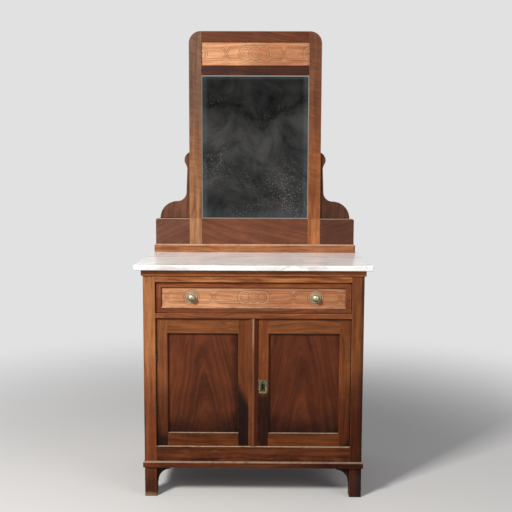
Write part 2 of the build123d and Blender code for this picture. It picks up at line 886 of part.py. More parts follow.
with BuildPart() as drawer_back:
    block(
        both_ways(x_drawer_inside + drawer_groove),
        (y_drawer_back, y_drawer_end),
        (drawer_bottom_z[1], drawer_side_z[1] - drawer_side_drop),
    )
write(drawer_back, "drawer_back")

with BuildPart() as drawer_bottom:
    block(
        both_ways(x_drawer_inside + drawer_groove),
        (y_drawer_inside - drawer_groove, y_drawer_end),
        drawer_bottom_z,
    )
write(drawer_bottom, "drawer_bottom")

# Mitred moulding planted round the drawer front, and the carved panel inside it
carved_z = grown(drawer_z, -drawer_moulding_width)
outer_corners = [
    (-x_drawer, drawer_z[0]),
    (x_drawer, drawer_z[0]),
    (x_drawer, drawer_z[1]),
    (-x_drawer, drawer_z[1]),
]
inner_corners = [
    (-x_carved, carved_z[0]),
    (x_carved, carved_z[0]),
    (x_carved, carved_z[1]),
    (-x_carved, carved_z[1]),
]
with BuildPart() as drawer_moulding:
    for number in range(4):
        after = (number + 1) % 4
        with BuildPart(mode=Mode.PRIVATE) as moulding_length:
            with BuildSketch(front_plane(y_drawer_front)):
                with BuildLine():
                    Polyline(
                        outer_corners[number],
                        outer_corners[after],
                        inner_corners[after],
                        inner_corners[number],
                        close=True,
                    )
                make_face()
                offset(amount=-mitre_slip / 2)
            extrude(amount=drawer_moulding_thickness)
            front_face = moulding_length.faces().sort_by(Axis.Y)[0]
            inner_middle = (Vector(*inner_corners[number]) + Vector(*inner_corners[after])) / 2
            sight = (inner_middle.X, y_drawer_face, inner_middle.Y)
            chamfer(front_face.edges().sort_by_distance(sight)[0], drawer_moulding_bevel)
        add(moulding_length.part.solids())
write(drawer_moulding, "drawer_moulding")

with BuildPart() as drawer_carved_panel:
    block(both_ways(x_carved), (y_carved_face, y_drawer_front), carved_z)
    with BuildSketch(front_plane(y_carved_face)):
        with Locations(*knob_places):
            Circle(knob_shank_radius + joint_slip)
    extrude(amount=-carved_panel_thickness, mode=Mode.SUBTRACT)
write(drawer_carved_panel, "drawer_carved_panel")

# Knobs: a scalloped rosette, a domed knob and its shank with a nut inside the drawer
with BuildPart() as knob_rosettes:
    with BuildSketch(front_plane(y_carved_face)):
        with Locations(*knob_places):
            Circle(rosette_radius)
            with PolarLocations(rosette_radius, rosette_lobes):
                Circle(rosette_lobe_radius)
            Circle(knob_shank_radius + joint_slip, mode=Mode.SUBTRACT)
    extrude(amount=rosette_thickness)
write(knob_rosettes, "knob_rosettes")

y_knob_seat = y_carved_face - rosette_thickness
dome_height = knob_reach - knob_neck_length - knob_flare
dome_radius = (knob_radius**2 + dome_height**2) / (2 * dome_height)
with BuildPart() as drawer_knobs:
    for knob_x, knob_z in knob_places:
        with BuildPart(mode=Mode.PRIVATE) as knob:
            with BuildSketch(Plane.YZ.offset(knob_x)):
                with BuildLine():
                    shank_end = (y_drawer_inside + knob_nut_thickness, knob_z)
                    shank_top = (shank_end[0], knob_z + knob_nut_radius)
                    nut_face = (y_drawer_inside, knob_z + knob_nut_radius)
                    shank_face = (y_drawer_inside, knob_z + knob_shank_radius)
                    shank_seat = (y_knob_seat, knob_z + knob_shank_radius)
                    neck_seat = (y_knob_seat, knob_z + knob_neck_radius)
                    neck_end = (y_knob_seat - knob_neck_length, knob_z + knob_neck_radius)
                    rim = (neck_end[0] - knob_flare, knob_z + knob_radius)
                    crown = (y_knob_seat - knob_reach, knob_z)
                    Polyline(crown, shank_end, shank_top, nut_face, shank_face)
                    Polyline(shank_face, shank_seat, neck_seat, neck_end, rim)
                    RadiusArc(rim, crown, -dome_radius)
                make_face()
            revolve(axis=Axis((knob_x, 0, knob_z), (0, 1, 0)))
        add(knob.part.solids())
write(drawer_knobs, "drawer_knobs")

# Mirror levels and spans
z_base = z_marble + mirror_base_height
z_glass_low = z_base + mirror_low_rail
z_glass_high = z_glass_low + glass_height
z_carved_low = z_glass_high + mirror_middle_rail
z_carved_high = z_carved_low + carved_height
z_mirror = z_carved_high + mirror_top_rail_height
mirror_y = (y_mirror, y_back)
mirror_tenon_y = (y_mirror + carved_recess, y_mirror + carved_recess + tenon_thickness)
low_rail_z = (z_base, z_glass_low)
middle_rail_z = (z_glass_high, z_carved_low)
top_rail_z = (z_carved_high, z_mirror)
rebate_y = (y_mirror + rebate_lip, y_back)
glass_y = (rebate_y[0], rebate_y[0] + glass_thickness)
backing_y = (glass_y[1], glass_y[1] + backing_thickness)
carved_y = (y_mirror + carved_recess, y_mirror + carved_recess + carved_thickness)
sight_z = (z_glass_low, z_glass_high)
ornament_z = (z_carved_low, z_carved_high)
wing_tenon_z = grown(low_rail_z, -wing_tenon_shoulder)

# Moulded base that stands on the marble
with BuildPart() as mirror_base_moulding:
    block(both_ways(x_mirror_base), (y_back - mirror_base_depth, y_back), (z_marble, z_base))
    base_uprights = mirror_base_moulding.edges().filter_by(Axis.Z)
    fillet(base_uprights.group_by(Axis.Y)[0], mirror_base_corner)
    base_top = mirror_base_moulding.faces().sort_by(Axis.Z)[-1].edges()
    chamfer(base_top.filter_by(lambda edge: edge.center().Y < y_back - joint_slip), mirror_base_bevel)
write(mirror_base_moulding, "mirror_base_moulding")

# Mirror stiles, rebated for the glass and grooved for the carved panel
with BuildPart() as mirror_stiles:
    block((x_glass, x_mirror), mirror_y, (z_base, z_mirror))
    top_corner = mirror_stiles.edges().filter_by(Axis.Y).group_by(Axis.Z)[-1].sort_by(Axis.X)[-1]
    fillet(top_corner, mirror_corner)
    for rail_z in (low_rail_z, middle_rail_z, top_rail_z):
        block(
            (x_glass, x_glass + mirror_tenon_length + joint_slip),
            grown(mirror_tenon_y, joint_slip),
            grown(rail_z, joint_slip - mirror_tenon_shoulder),
            Mode.SUBTRACT,
        )
    block((x_glass, x_glass + rebate_width), rebate_y, grown(sight_z, rebate_width), Mode.SUBTRACT)
    block(
        (x_glass, x_glass + groove_depth),
        grown(carved_y, joint_slip),
        grown(ornament_z, groove_depth),
        Mode.SUBTRACT,
    )
    block(
        (x_mirror - wing_tenon_length - joint_slip, x_mirror),
        grown(mirror_tenon_y, joint_slip),
        grown(wing_tenon_z, joint_slip),
        Mode.SUBTRACT,
    )
    mirror(about=Plane.YZ)
write(mirror_stiles, "mirror_stiles")

for rail_name, rail_z in (
    ("mirror_bottom_rail", low_rail_z),
    ("mirror_middle_rail", middle_rail_z),
    ("mirror_top_rail", top_rail_z),
):
    with BuildPart() as mirror_rail:
        block(both_ways(x_glass), mirror_y, rail_z)
        block(
            both_ways(x_glass + mirror_tenon_length),
            mirror_tenon_y,
            grown(rail_z, -mirror_tenon_shoulder),
        )
        block(both_ways(x_glass), rebate_y, grown(sight_z, rebate_width), Mode.SUBTRACT)
        block(
            both_ways(x_glass),
            grown(carved_y, joint_slip),
            grown(ornament_z, groove_depth),
            Mode.SUBTRACT,
        )
    write(mirror_rail, rail_name)

with BuildPart() as mirror_carved_panel:
    block(both_ways(x_glass + panel_tongue), carved_y, grown(ornament_z, panel_tongue))
write(mirror_carved_panel, "mirror_carved_panel")

glass_span = grown(both_ways(x_glass), rebate_width - glass_slip)
glass_z = grown(sight_z, rebate_width - glass_slip)
with BuildPart() as mirror_glass:
    block(glass_span, glass_y, glass_z)
write(mirror_glass, "mirror_glass")

with BuildPart() as mirror_backboard:
    block(glass_span, backing_y, glass_z)
write(mirror_backboard, "mirror_backboard")

# Wings of the base board outside the stiles
with BuildPart() as mirror_wings:
    block((x_mirror, x_wing), mirror_y, low_rail_z)
    fillet(
        mirror_wings.edges().filter_by(Axis.Y).group_by(Axis.Z)[-1].sort_by(Axis.X)[-1],
        wing_corner,
    )
    block((x_mirror - wing_tenon_length, x_mirror), mirror_tenon_y, wing_tenon_z)
    mirror(about=Plane.YZ)
write(mirror_wings, "mirror_wings")

# Scroll brackets, sawn to a lobe, a hollow, a slim neck and an ear
bracket_corner = (x_mirror, y_mirror + bracket_recess, z_glass_low)
bracket_plane = Plane(bracket_corner, x_dir=(1, 0, 0), z_dir=(0, -1, 0))
bracket_thickness = mirror_thickness - bracket_recess
x_lobe = bracket_reach - bracket_lobe
with BuildPart() as scroll_brackets:
    with BuildSketch(bracket_plane):
        with BuildLine():
            Polyline((0, bracket_rise), (0, 0), (bracket_reach, 0))
            CenterArc((x_lobe, 0), bracket_lobe, 0, 90)
            hollow = CenterArc((x_lobe, bracket_lobe + bracket_hollow), bracket_hollow, 180, 90)
            neck = Line(hollow @ 0, (bracket_neck, bracket_neck_top))
            nick = SagittaArc(neck @ 1, (bracket_ear, bracket_ear_height), bracket_nick_bulge)
            SagittaArc(nick @ 1, (0, bracket_rise), -bracket_ear_bulge)
        make_face()
    extrude(amount=-bracket_thickness)
    mirror(about=Plane.YZ)
write(scroll_brackets, "scroll_brackets")

# Battens that tie the mirror's stiles to the back of the case
x_batten = x_mirror - mirror_stile_width / 2
with BuildPart() as mirror_battens:
    block(
        grown((x_batten, x_batten), batten_width / 2),
        (y_back, y_back + batten_thickness),
        (batten_low, batten_high),
    )
    mirror(about=Plane.YZ)
write(mirror_battens, "mirror_battens")
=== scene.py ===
import math

import bmesh
import bpy
from mathutils import Matrix, Vector


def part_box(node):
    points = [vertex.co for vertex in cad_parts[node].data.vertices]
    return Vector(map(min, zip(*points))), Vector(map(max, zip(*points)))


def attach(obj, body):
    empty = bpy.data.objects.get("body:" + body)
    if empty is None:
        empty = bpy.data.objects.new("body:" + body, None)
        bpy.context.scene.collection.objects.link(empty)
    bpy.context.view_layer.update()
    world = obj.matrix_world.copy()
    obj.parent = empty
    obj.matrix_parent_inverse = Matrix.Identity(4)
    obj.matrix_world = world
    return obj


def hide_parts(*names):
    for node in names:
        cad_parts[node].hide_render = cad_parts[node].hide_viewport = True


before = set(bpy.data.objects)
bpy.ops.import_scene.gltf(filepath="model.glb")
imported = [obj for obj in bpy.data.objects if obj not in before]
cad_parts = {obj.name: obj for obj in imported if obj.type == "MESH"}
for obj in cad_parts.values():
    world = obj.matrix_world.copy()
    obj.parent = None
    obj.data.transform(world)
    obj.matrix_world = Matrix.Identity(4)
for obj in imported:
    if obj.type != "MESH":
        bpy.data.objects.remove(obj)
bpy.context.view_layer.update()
bpy.ops.object.select_all(action="DESELECT")

# Camera: the photograph was taken standing about three metres in front of the washstand,
# a little to the right of its middle and looking slightly down.
focal_pixels = 784.84
frame_pixels = 512
sensor_width = 36.0
camera_place = Vector((0.0306, -3.1703, 1.2645))
camera_pitch, camera_yaw, camera_roll = 0.10879, -0.00737, 0.00332
forward = Vector((
    math.sin(camera_yaw) * math.cos(camera_pitch),
    math.cos(camera_yaw) * math.cos(camera_pitch),
    -math.sin(camera_pitch),
))
level_right = Vector((math.cos(camera_yaw), -math.sin(camera_yaw), 0))
level_up = level_right.cross(forward)
right = level_right * math.cos(camera_roll) + level_up * math.sin(camera_roll)
up = level_up * math.cos(camera_roll) - level_right * math.sin(camera_roll)
camera_data = bpy.data.cameras.new("camera")
camera_data.sensor_width = sensor_width
camera_data.lens = focal_pixels * sensor_width / frame_pixels
camera = bpy.data.objects.new("camera", camera_data)
turn = Matrix((right, up, -forward)).transposed().to_4x4()
camera.matrix_world = Matrix.Translation(camera_place) @ turn
bpy.context.scene.collection.objects.link(camera)
bpy.context.scene.camera = camera
bpy.context.scene.view_settings.view_transform = "Standard"

# Studio: a matt pale floor that fades into a plain pale backdrop, and daylight from windows
# up on the left, with a weaker one on the right. The floor keeps the washstand's shadow.
backdrop_colour = "#E1E1E2"
floor_colour = "#D8D7D6"
floor_bounce = "#8A8784"
floor_size = 60.0
floor_fade = (0.9, 3.0)


def paint(hex_colour):
    """An sRGB hex value as a linear colour."""
    values = [int(hex_colour[i : i + 2], 16) / 255 for i in (1, 3, 5)]
    return tuple(v / 12.92 if v <= 0.04045 else ((v + 0.055) / 1.055) ** 2.4 for v in values) + (1.0,)


def node(tree, kind, inputs=None, **settings):
    """Adds a node, with its settings, values and links."""
    made = tree.nodes.new("ShaderNode" + kind)
    for name, value in settings.items():
        setattr(made, name, value)
    for name, value in (inputs or {}).items():
        if isinstance(value, bpy.types.NodeSocket):
            tree.links.new(value, made.inputs[name])
        else:
            made.inputs[name].default_value = value
    return made


def maths(tree, operation, *values):
    """The result of a sum on values or outputs."""
    return node(tree, "Math", dict(enumerate(values)), operation=operation).outputs[0]


def remap(tree, value, low, high, start=0.0, end=1.0, smooth=False):
    """A value taken from one range to another, and held at its ends."""
    limits = {"Value": value, "From Min": low, "From Max": high, "To Min": start, "To Max": end}
    return node(tree, "MapRange", limits, interpolation_type="SMOOTHSTEP" if smooth else "LINEAR").outputs[0]


def mixed(tree, share, first, second, blend="MIX"):
    """The second colour over the first."""
    return node(tree, "Mix", {0: share, 6: first, 7: second}, data_type="RGBA", blend_type=blend).outputs[2]


def new_material(name):
    """An empty material with its shader, and the place of a point on the washstand."""
    material = bpy.data.materials.new(name)
    material.use_nodes = True
    tree = material.node_tree
    place = node(tree, "TexCoord").outputs["Object"]
    return material, tree, tree.nodes["Principled BSDF"], place


world = bpy.data.worlds.new("studio")
world.use_nodes = True
bpy.context.scene.world = world
sky = world.node_tree
seen = node(sky, "LightPath")
straight = maths(sky, "MAXIMUM", seen.outputs["Is Camera Ray"], seen.outputs["Is Glossy Ray"])
through = maths(sky, "MAXIMUM", straight, seen.outputs["Is Transmission Ray"])
shade = node(sky, "Background", {"Color": paint("#E8EAF0"), "Strength": 0.34})
backdrop = node(sky, "Background", {"Color": paint(backdrop_colour), "Strength": 1.0})
either = node(sky, "MixShader", {0: through, 1: shade.outputs[0], 2: backdrop.outputs[0]})
sky.links.new(either.outputs[0], sky.nodes["World Output"].inputs["Surface"])

bpy.ops.mesh.primitive_plane_add(size=floor_size, location=(0, 0, 0))
floor = bpy.context.object
floor.name = "studio_floor"
bpy.ops.object.transform_apply()
# matt pale paint
floor_paint, tree, shader, place = new_material("matt_studio_floor")
looked_at = node(tree, "LightPath")
floor_tone = mixed(tree, looked_at.outputs["Is Camera Ray"], paint(floor_bounce), paint(floor_colour))
tree.links.new(floor_tone, shader.inputs["Base Color"])
shader.inputs["Roughness"].default_value = 0.9
shader.inputs["Specular IOR Level"].default_value = 0.1
away = node(tree, "VectorMath", {0: place}, operation="LENGTH")
fade = remap(tree, away.outputs["Value"], floor_fade[0], floor_fade[1], smooth=True)
clear = maths(tree, "MAXIMUM", looked_at.outputs["Is Camera Ray"], looked_at.outputs["Is Glossy Ray"])
shown = maths(tree, "MULTIPLY", clear, fade)
plain = node(tree, "Emission", {"Color": paint(backdrop_colour), "Strength": 1.0})
faded = node(tree, "MixShader", {0: shown, 1: shader.outputs[0], 2: plain.outputs[0]})
tree.links.new(faded.outputs[0], tree.nodes["Material Output"].inputs["Surface"])
floor.data.materials.append(floor_paint)

for name, place, target, size, power in (
    ("left_window", (-2.1, -2.6, 3.0), (0.0, 0.0, 1.0), 0.75, 175.0),
    ("right_window", (2.6, -2.4, 2.2), (0.0, 0.0, 0.9), 1.8, 30.0),
):
    lamp = bpy.data.lights.new(name, "AREA")
    lamp.size = size
    lamp.energy = power
    lamp.color = paint("#FFFCF7")[:3]
    window = bpy.data.objects.new(name, lamp)
    window.location = place
    window.rotation_euler = (Vector(target) - Vector(place)).to_track_quat("-Z", "Y").to_euler()
    bpy.context.scene.collection.objects.link(window)

# Corner posts: square walnut with the grain running up, under a shellac that is worn through
# at the arrises. The lower ends are the feet. The posts are painted darker towards the floor,
# partly as shade where the light falls off low down and partly as dirt at the feet.
across, deep, high = (1, 0, 0), (0, 1, 0), (0, 0, 1)
stretch = {"X": 0, "Y": 1, "Z": 2}


def lined_up(tree, place, along, width, length, tilt=0.0, shift=0.0):
    """The place measured in fibres: width across the grain and length along it."""
    size = [width] * 3
    size[stretch[along]] = length
    return node(tree, "Mapping", {
        "Vector": place, "Location": (shift, shift * 0.37, shift * 0.73),
        "Rotation": (0, math.radians(tilt), 0), "Scale": size,
    }, vector_type="TEXTURE").outputs[0]


def walnut(name, along, dark, middle, light, tilt=0.0, shift=0.0, ring=0.013, flame=None, ripple=None, mitre=None,
           tones=(), wear_dirt_and_painted_light=(), worn="#B98A5E", wear=0.5, dust=0.5, dust_colour="#C9AC93", rough=0.46, contrast=1.0,
           fibre=0.08, gloss=0.2):
    """Walnut under worn shellac: growth rings, fibres and pores along the grain, rubbed arrises,
    dust on ledges, tones that darken or tint one part of a piece, many of them painted shade
    and painted colour casts, and marks laid over one part: wear, dirt and painted highlights."""
    material, tree, shader, place = new_material(name)
    wander = node(tree, "TexNoise", {"Vector": place, "Scale": 3.2, "Detail": 2.0})
    bent = node(tree, "VectorMath", {0: wander.outputs["Color"], 1: (0.5, 0.5, 0.5)}, operation="SUBTRACT")
    bow = node(tree, "VectorMath", {0: bent.outputs[0], "Scale": 0.05}, operation="SCALE")
    moved = node(tree, "VectorMath", {0: place, 1: bow.outputs[0]}, operation="ADD").outputs[0]
    if mitre:
        # four mitred lengths in one frame: the upright ones have their grain running up
        half_width, z_middle, half_height = mitre
        parts = node(tree, "SeparateXYZ", {0: place})
        level = maths(tree, "SUBTRACT", parts.outputs["Z"], z_middle)
        out = maths(tree, "ABSOLUTE", parts.outputs["X"])
        rise = maths(tree, "ABSOLUTE", level)
        past_side = maths(tree, "SUBTRACT", out, half_width)
        past_top = maths(tree, "SUBTRACT", rise, half_height)
        upright = maths(tree, "GREATER_THAN", past_side, past_top)
        turned = node(tree, "CombineXYZ", {
            "X": parts.outputs["Z"], "Y": parts.outputs["Y"], "Z": parts.outputs["X"],
        })
        moved = node(tree, "Mix", {0: upright, 4: moved, 5: turned.outputs[0]},
                     data_type="VECTOR").outputs[1]
    if flame:
        # flame figure: the streaks lean away from the middle of the panel on their way down
        x_middle, lean, blunt = flame
        parts = node(tree, "SeparateXYZ", {0: moved})
        aside = maths(tree, "SUBTRACT", parts.outputs["X"], x_middle)
        square = maths(tree, "MULTIPLY", aside, aside)
        blunted = maths(tree, "ADD", square, blunt * blunt)
        out = maths(tree, "POWER", blunted, 0.5)
        leaned = maths(tree, "MULTIPLY_ADD", parts.outputs["Z"], lean, out)
        moved = node(tree, "CombineXYZ", {
            "X": leaned, "Y": parts.outputs["Y"], "Z": parts.outputs["Z"],
        }).outputs[0]
    # growth rings, about a finger wide, drawn out along the board
    rings = node(tree, "TexNoise", {
        "Vector": lined_up(tree, moved, along, ring, ring * 24, tilt, shift),
        "Scale": 1.0, "Detail": 4.0, "Roughness": 0.55, "Distortion": 0.4,
    }).outputs["Fac"]
    if ripple:
        # curly figure: short bars across the grain where the light catches the turned fibres
        parts = node(tree, "SeparateXYZ", {0: place})
        bars = node(tree, "TexNoise", {
            "Vector": lined_up(tree, moved, along, 0.05, 0.009, 16, shift), "Scale": 1.0, "Detail": 1.5,
        })
        near = remap(tree, parts.outputs["Z"], ripple[0], ripple[1], 0.0, ripple[2], smooth=True)
        rings = node(tree, "Mix", {0: near, 2: rings, 3: bars.outputs["Fac"]}).outputs[0]
    spread = 0.24 / contrast
    colours = node(tree, "ValToRGB", {"Fac": rings})
    ramp = colours.color_ramp
    ramp.elements[0].position, ramp.elements[0].color = 0.5 - spread, paint(dark)
    ramp.elements[1].position, ramp.elements[1].color = 0.5 + spread, paint(light)
    between = ramp.elements.new(0.5)
    between.color = paint(middle)
    # fibres about two millimetres wide, coarser than life so that they show
    fibres = node(tree, "TexNoise", {
        "Vector": lined_up(tree, moved, along, 0.0022, 0.09, tilt, shift),
        "Scale": 1.0, "Detail": 3.0, "Roughness": 0.7,
    }).outputs["Fac"]
    streak = remap(tree, fibres, 0.3, 0.7, 1.0 - 2 * fibre, 1.0 + 2 * fibre)
    # open pores, drawn as dark dashes a millimetre wide
    pores = node(tree, "TexNoise", {
        "Vector": lined_up(tree, moved, along, 0.0012, 0.016, tilt, shift), "Scale": 1.0, "Detail": 1.0,
    }).outputs["Fac"]
    pitted = remap(tree, pores, 0.26, 0.36, 0.7, 1.0)
    patchy = node(tree, "TexNoise", {"Vector": place, "Scale": 11.0, "Detail": 4.0, "Roughness": 0.6})
    faded_patch = remap(tree, patchy.outputs["Fac"], 0.3, 0.7, 0.84, 1.16)
    both = maths(tree, "MULTIPLY", streak, pitted)
    tint = maths(tree, "MULTIPLY", both, faded_patch)
    colour = node(tree, "VectorMath", {0: colours.outputs["Color"], "Scale": tint},
                  operation="SCALE").outputs[0]
    # tones and the laid-over marks of wear, dirt and painted light run in along a direction, with a cloudy edge
    cloudy = node(tree, "TexNoise", {"Vector": place, "Scale": 16.0, "Detail": 5.0, "Roughness": 0.62})
    edge = node(tree, "VectorMath", {0: cloudy.outputs["Color"], 1: (0.5, 0.5, 0.5)}, operation="SUBTRACT")
    for blend, group in (("MULTIPLY", tones), ("MIX", wear_dirt_and_painted_light)):
        for tone, strength, edge_width, limits in group:
            drift = node(tree, "VectorMath", {0: edge.outputs[0], "Scale": edge_width}, operation="SCALE")
            cloudy_place = node(tree, "VectorMath", {0: place, 1: drift.outputs[0]}, operation="ADD")
            share = strength
            for direction, start, full in limits:
                # the edge isn't cloudy in depth, so that a stain can keep to one face
                found = place if direction == deep else cloudy_place.outputs[0]
                reach = node(tree, "VectorMath", {0: found, 1: direction}, operation="DOT_PRODUCT")
                ramped = remap(tree, reach.outputs["Value"], start, full, smooth=True)
                share = maths(tree, "MULTIPLY", ramped, share)
            colour = mixed(tree, share, colour, paint(tone), blend=blend)
    # arrises rubbed down to paler wood
    rounded = node(tree, "Bevel", {"Radius": 0.0014}, samples=6)
    flat = node(tree, "NewGeometry")
    along_face = node(tree, "VectorMath", {0: rounded.outputs[0], 1: flat.outputs["Normal"]},
                      operation="DOT_PRODUCT")
    rub = node(tree, "TexNoise", {"Vector": place, "Scale": 40.0, "Detail": 3.0})
    rubbed = remap(tree, along_face.outputs["Value"], 0.995, 0.93, 0.0, wear)
    uneven = remap(tree, rub.outputs["Fac"], 0.38, 0.62)
    arris = maths(tree, "MULTIPLY", rubbed, uneven)
    colour = mixed(tree, arris, colour, paint(worn))
    # dust lies on what faces up
    facing = node(tree, "SeparateXYZ", {0: flat.outputs["Normal"]})
    ledge = remap(tree, facing.outputs["Z"], 0.45, 0.85, 0.0, dust)
    thick = remap(tree, rub.outputs["Fac"], 0.2, 0.55, 0.4, 1.0)
    dusty = maths(tree, "MULTIPLY", ledge, thick)
    colour = mixed(tree, dusty, colour, paint(dust_colour))
    tree.links.new(colour, shader.inputs["Base Color"])
    sheen = remap(tree, patchy.outputs["Fac"], 0.3, 0.7, rough - 0.08, rough + 0.14)
    tree.links.new(sheen, shader.inputs["Roughness"])
    shader.inputs["IOR"].default_value = 1.5
    shader.inputs["Specular IOR Level"].default_value = gloss
    grain = node(tree, "Bump", {
        "Strength": 0.3, "Distance": 0.0004, "Height": fibres, "Normal": rounded.outputs[0],
    })
    tree.links.new(grain.outputs[0], shader.inputs["Normal"])
    return material


def finish(material, *names):
    """Gives CAD nodes their material."""
    for name in names:
        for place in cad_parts[name].material_slots:
            place.material = material


# The woods' colours and tones were scaled until the render's mean colours came near those of the
# same regions of the photograph, so some of its light and shade is in them.
# a tone for what the photograph shows darker, from dirt or from its light
dark_tone = "#4A4140"
# painted shade: below 0.66 m the left post darkens, and it is darkest at its feet, partly as the light's fall-off and
# partly as dirt
finish(walnut(
    "left_post_walnut", "Z", "#7F4929", "#A2663D", "#B97D53", shift=1.3,
    tones=(("#BCA093", 1.0, 0.10, ((high, 0.66, 0.3),)), (dark_tone, 0.6, 0.05, ((high, 0.14, 0.05),)),
           (dark_tone, 0.6, 0.008, ((across, -0.412, -0.419), (high, 0.5, 0.3)))),
    wear_dirt_and_painted_light=(("#2E2A28", 0.14, 0.05, ((high, 0.13, 0.07),)), ("#A9805C", 0.6, 0.03, ((high, 0.02, 0.0),))),
), "front_left_post")
# painted shade: the right post has darker colours than the left, a darker right side and a darkest lower right, away
# from the left window, and it darkens below 0.66 m as the light falls off
finish(walnut(
    "right_post_walnut", "Z", "#5F3018", "#7E4825", "#955E34", shift=4.7,
    tones=((dark_tone, 0.7, 0.01, ((across, 0.404, 0.417),)), ("#94755F", 1.0, 0.10, ((high, 0.66, 0.3),)),
           (dark_tone, 0.8, 0.05, ((high, 0.2, 0.1), (across, 0.39, 0.41)))),
    wear_dirt_and_painted_light=(("#4E4640", 0.16, 0.05, ((high, 0.13, 0.07),)),),
), "front_right_post")
finish(walnut(
    "rear_post_walnut", "Z", "#4E2C1B", "#6C4026", "#805234", shift=8.1,
    tones=((dark_tone, 0.7, 0.05, ((high, 0.12, 0.04),)),),
), "rear_posts")

# Front rails: three lengths of walnut with the grain running across, tenoned between the posts.
# The lowest is the darkest, partly painted shade low down, its lower edge darker, and carries dust.
finish(walnut(
    "top_rail_walnut", "X", "#703A1D", "#9A5A31", "#B97949", shift=2.2, ring=0.009, contrast=1.3,
), "top_front_rail")
finish(walnut(
    "divider_walnut", "X", "#5F2D1A", "#814627", "#995F37", shift=3.9, ring=0.008, dust=0.25,
), "divider_rail")
finish(walnut(
    "low_rail_walnut", "X", "#39190B", "#5E2E15", "#784221", shift=5.4, ring=0.012, contrast=1.2, dust=0.8,
    tones=(("#9A8A84", 1.0, 0.08, ((high, 0.17, 0.13),)),),
), "bottom_front_rail")

# Sides: walnut rails tenoned between the posts, and a thin panel loose in their grooves. The
# photograph doesn't show them, and they are taken as darker than the front.
finish(walnut(
    "side_rail_walnut", "Y", "#51301D", "#71462A", "#875838", shift=6.6,
), "side_top_rails", "side_bottom_rails")
finish(walnut(
    "side_panel_walnut", "Z", "#40241A", "#5D3621", "#73472D", shift=7.7, ring=0.02,
    tones=((dark_tone, 0.45, 0.10, ((high, 0.34, 0.2),)),),
), "left_side_panel", "right_side_panel")

# Inside and back: sawn pine, never finished, gone brown with age and grey with dust. One finish
# for boards that lie across, one for upright ones and one for those that run front to back.
finish(walnut(
    "old_pine_across", "X", "#8A6239", "#A67C4D", "#B98F5F", shift=9.3, ring=0.016, worn="#C9A777", wear=0.4,
    dust=0.35, dust_colour="#A8967F", rough=0.72,
    tones=(("#A08C78", 0.8, 0.3, ((high, 0.55, 0.2),)),),
), "back_top_rail", "bottom_board", "dust_board", "door_stop_strip", "drawer_back", "drawer_bottom", "shelf")
finish(walnut(
    "old_pine_upright", "Z", "#7E5933", "#9C7346", "#AF8757", shift=10.9, ring=0.018, worn="#C9A777", wear=0.4,
    dust=0.35, dust_colour="#A8967F", rough=0.75,
    tones=(("#9C8874", 0.8, 0.3, ((high, 0.5, 0.2),)),),
), "back_boards", "mirror_backboard", "mirror_battens")
finish(walnut(
    "old_pine_deep", "Y", "#8A6239", "#A67C4D", "#B98F5F", shift=12.4, ring=0.014, worn="#C9A777", wear=0.4,
    dust=0.35, dust_colour="#A8967F", rough=0.72,
), "drawer_runners", "drawer_kickers", "drawer_sides", "shelf_battens")

# Back boards' nails: cut iron nails with rusty heads, two of them at the top rail and two at
# the cupboard floor through each tongued board
nail_head = 0.0032
nail_proud = 0.0007
nail_from_end = 0.010
nail_inset = 0.03
nail_facet, nail_crown = 0.45, 0.35


def two_tone(tree, value, low, low_colour, high, high_colour):
    """One colour up to a low value and another from a high one."""
    blend = node(tree, "ValToRGB", {"Fac": value})
    for end, position, colour in zip(blend.color_ramp.elements, (low, high), (low_colour, high_colour)):
        end.position, end.color = position, paint(colour)
    return blend.outputs["Color"]


# iron, rusty in patches
nail_iron, tree, shader, place = new_material("rusty_nail_iron")
rust = node(tree, "TexNoise", {"Vector": place, "Scale": 300.0, "Detail": 4.0, "Roughness": 0.65})
rust_colours = two_tone(tree, rust.outputs["Fac"], 0.4, "#2E2826", 0.62, "#5E3B28")
tree.links.new(rust_colours, shader.inputs["Base Color"])
shader.inputs["Metallic"].default_value = 0.6
shader.inputs["Roughness"].default_value = 0.6


def pick(piece, kind, test):
    """In edit mode, selects the points, edges or faces that pass the test."""
    bpy.ops.object.mode_set(mode="EDIT")
    bpy.ops.mesh.select_mode(type=kind)
    bpy.ops.mesh.select_all(action="DESELECT")
    shape = bmesh.from_edit_mesh(piece.data)
    for part in {"VERT": shape.verts, "EDGE": shape.edges, "FACE": shape.faces}[kind]:
        if test(part):
            part.select_set(True)
    bmesh.update_edit_mesh(piece.data)


def settle(piece, name, material, body, angle=35):
    """Puts a shaped piece's place in its mesh and gives it its finish and the body it rides on."""
    bpy.ops.object.mode_set(mode="OBJECT")
    bpy.ops.object.select_all(action="DESELECT")
    piece.select_set(True)
    bpy.context.view_layer.objects.active = piece
    bpy.ops.object.transform_apply(location=True, rotation=True, scale=True)
    bpy.ops.object.shade_smooth_by_angle(angle=math.radians(angle))
    piece.name = name
    piece.data.name = name
    piece.data.materials.clear()
    piece.data.materials.append(material)
    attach(piece, body)
    bpy.ops.object.select_all(action="DESELECT")
    return piece


def copied(piece, name, body, turn):
    """A copy with its own mesh, turned or moved to its own place."""
    twin = piece.copy()
    twin.data = piece.data.copy()
    twin.parent = None
    bpy.context.scene.collection.objects.link(twin)
    twin.data.transform(turn)
    if turn.determinant() < 0:
        twin.data.flip_normals()
    twin.matrix_world = Matrix.Identity(4)
    twin.name = name
    twin.data.name = name
    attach(twin, body)
    return twin


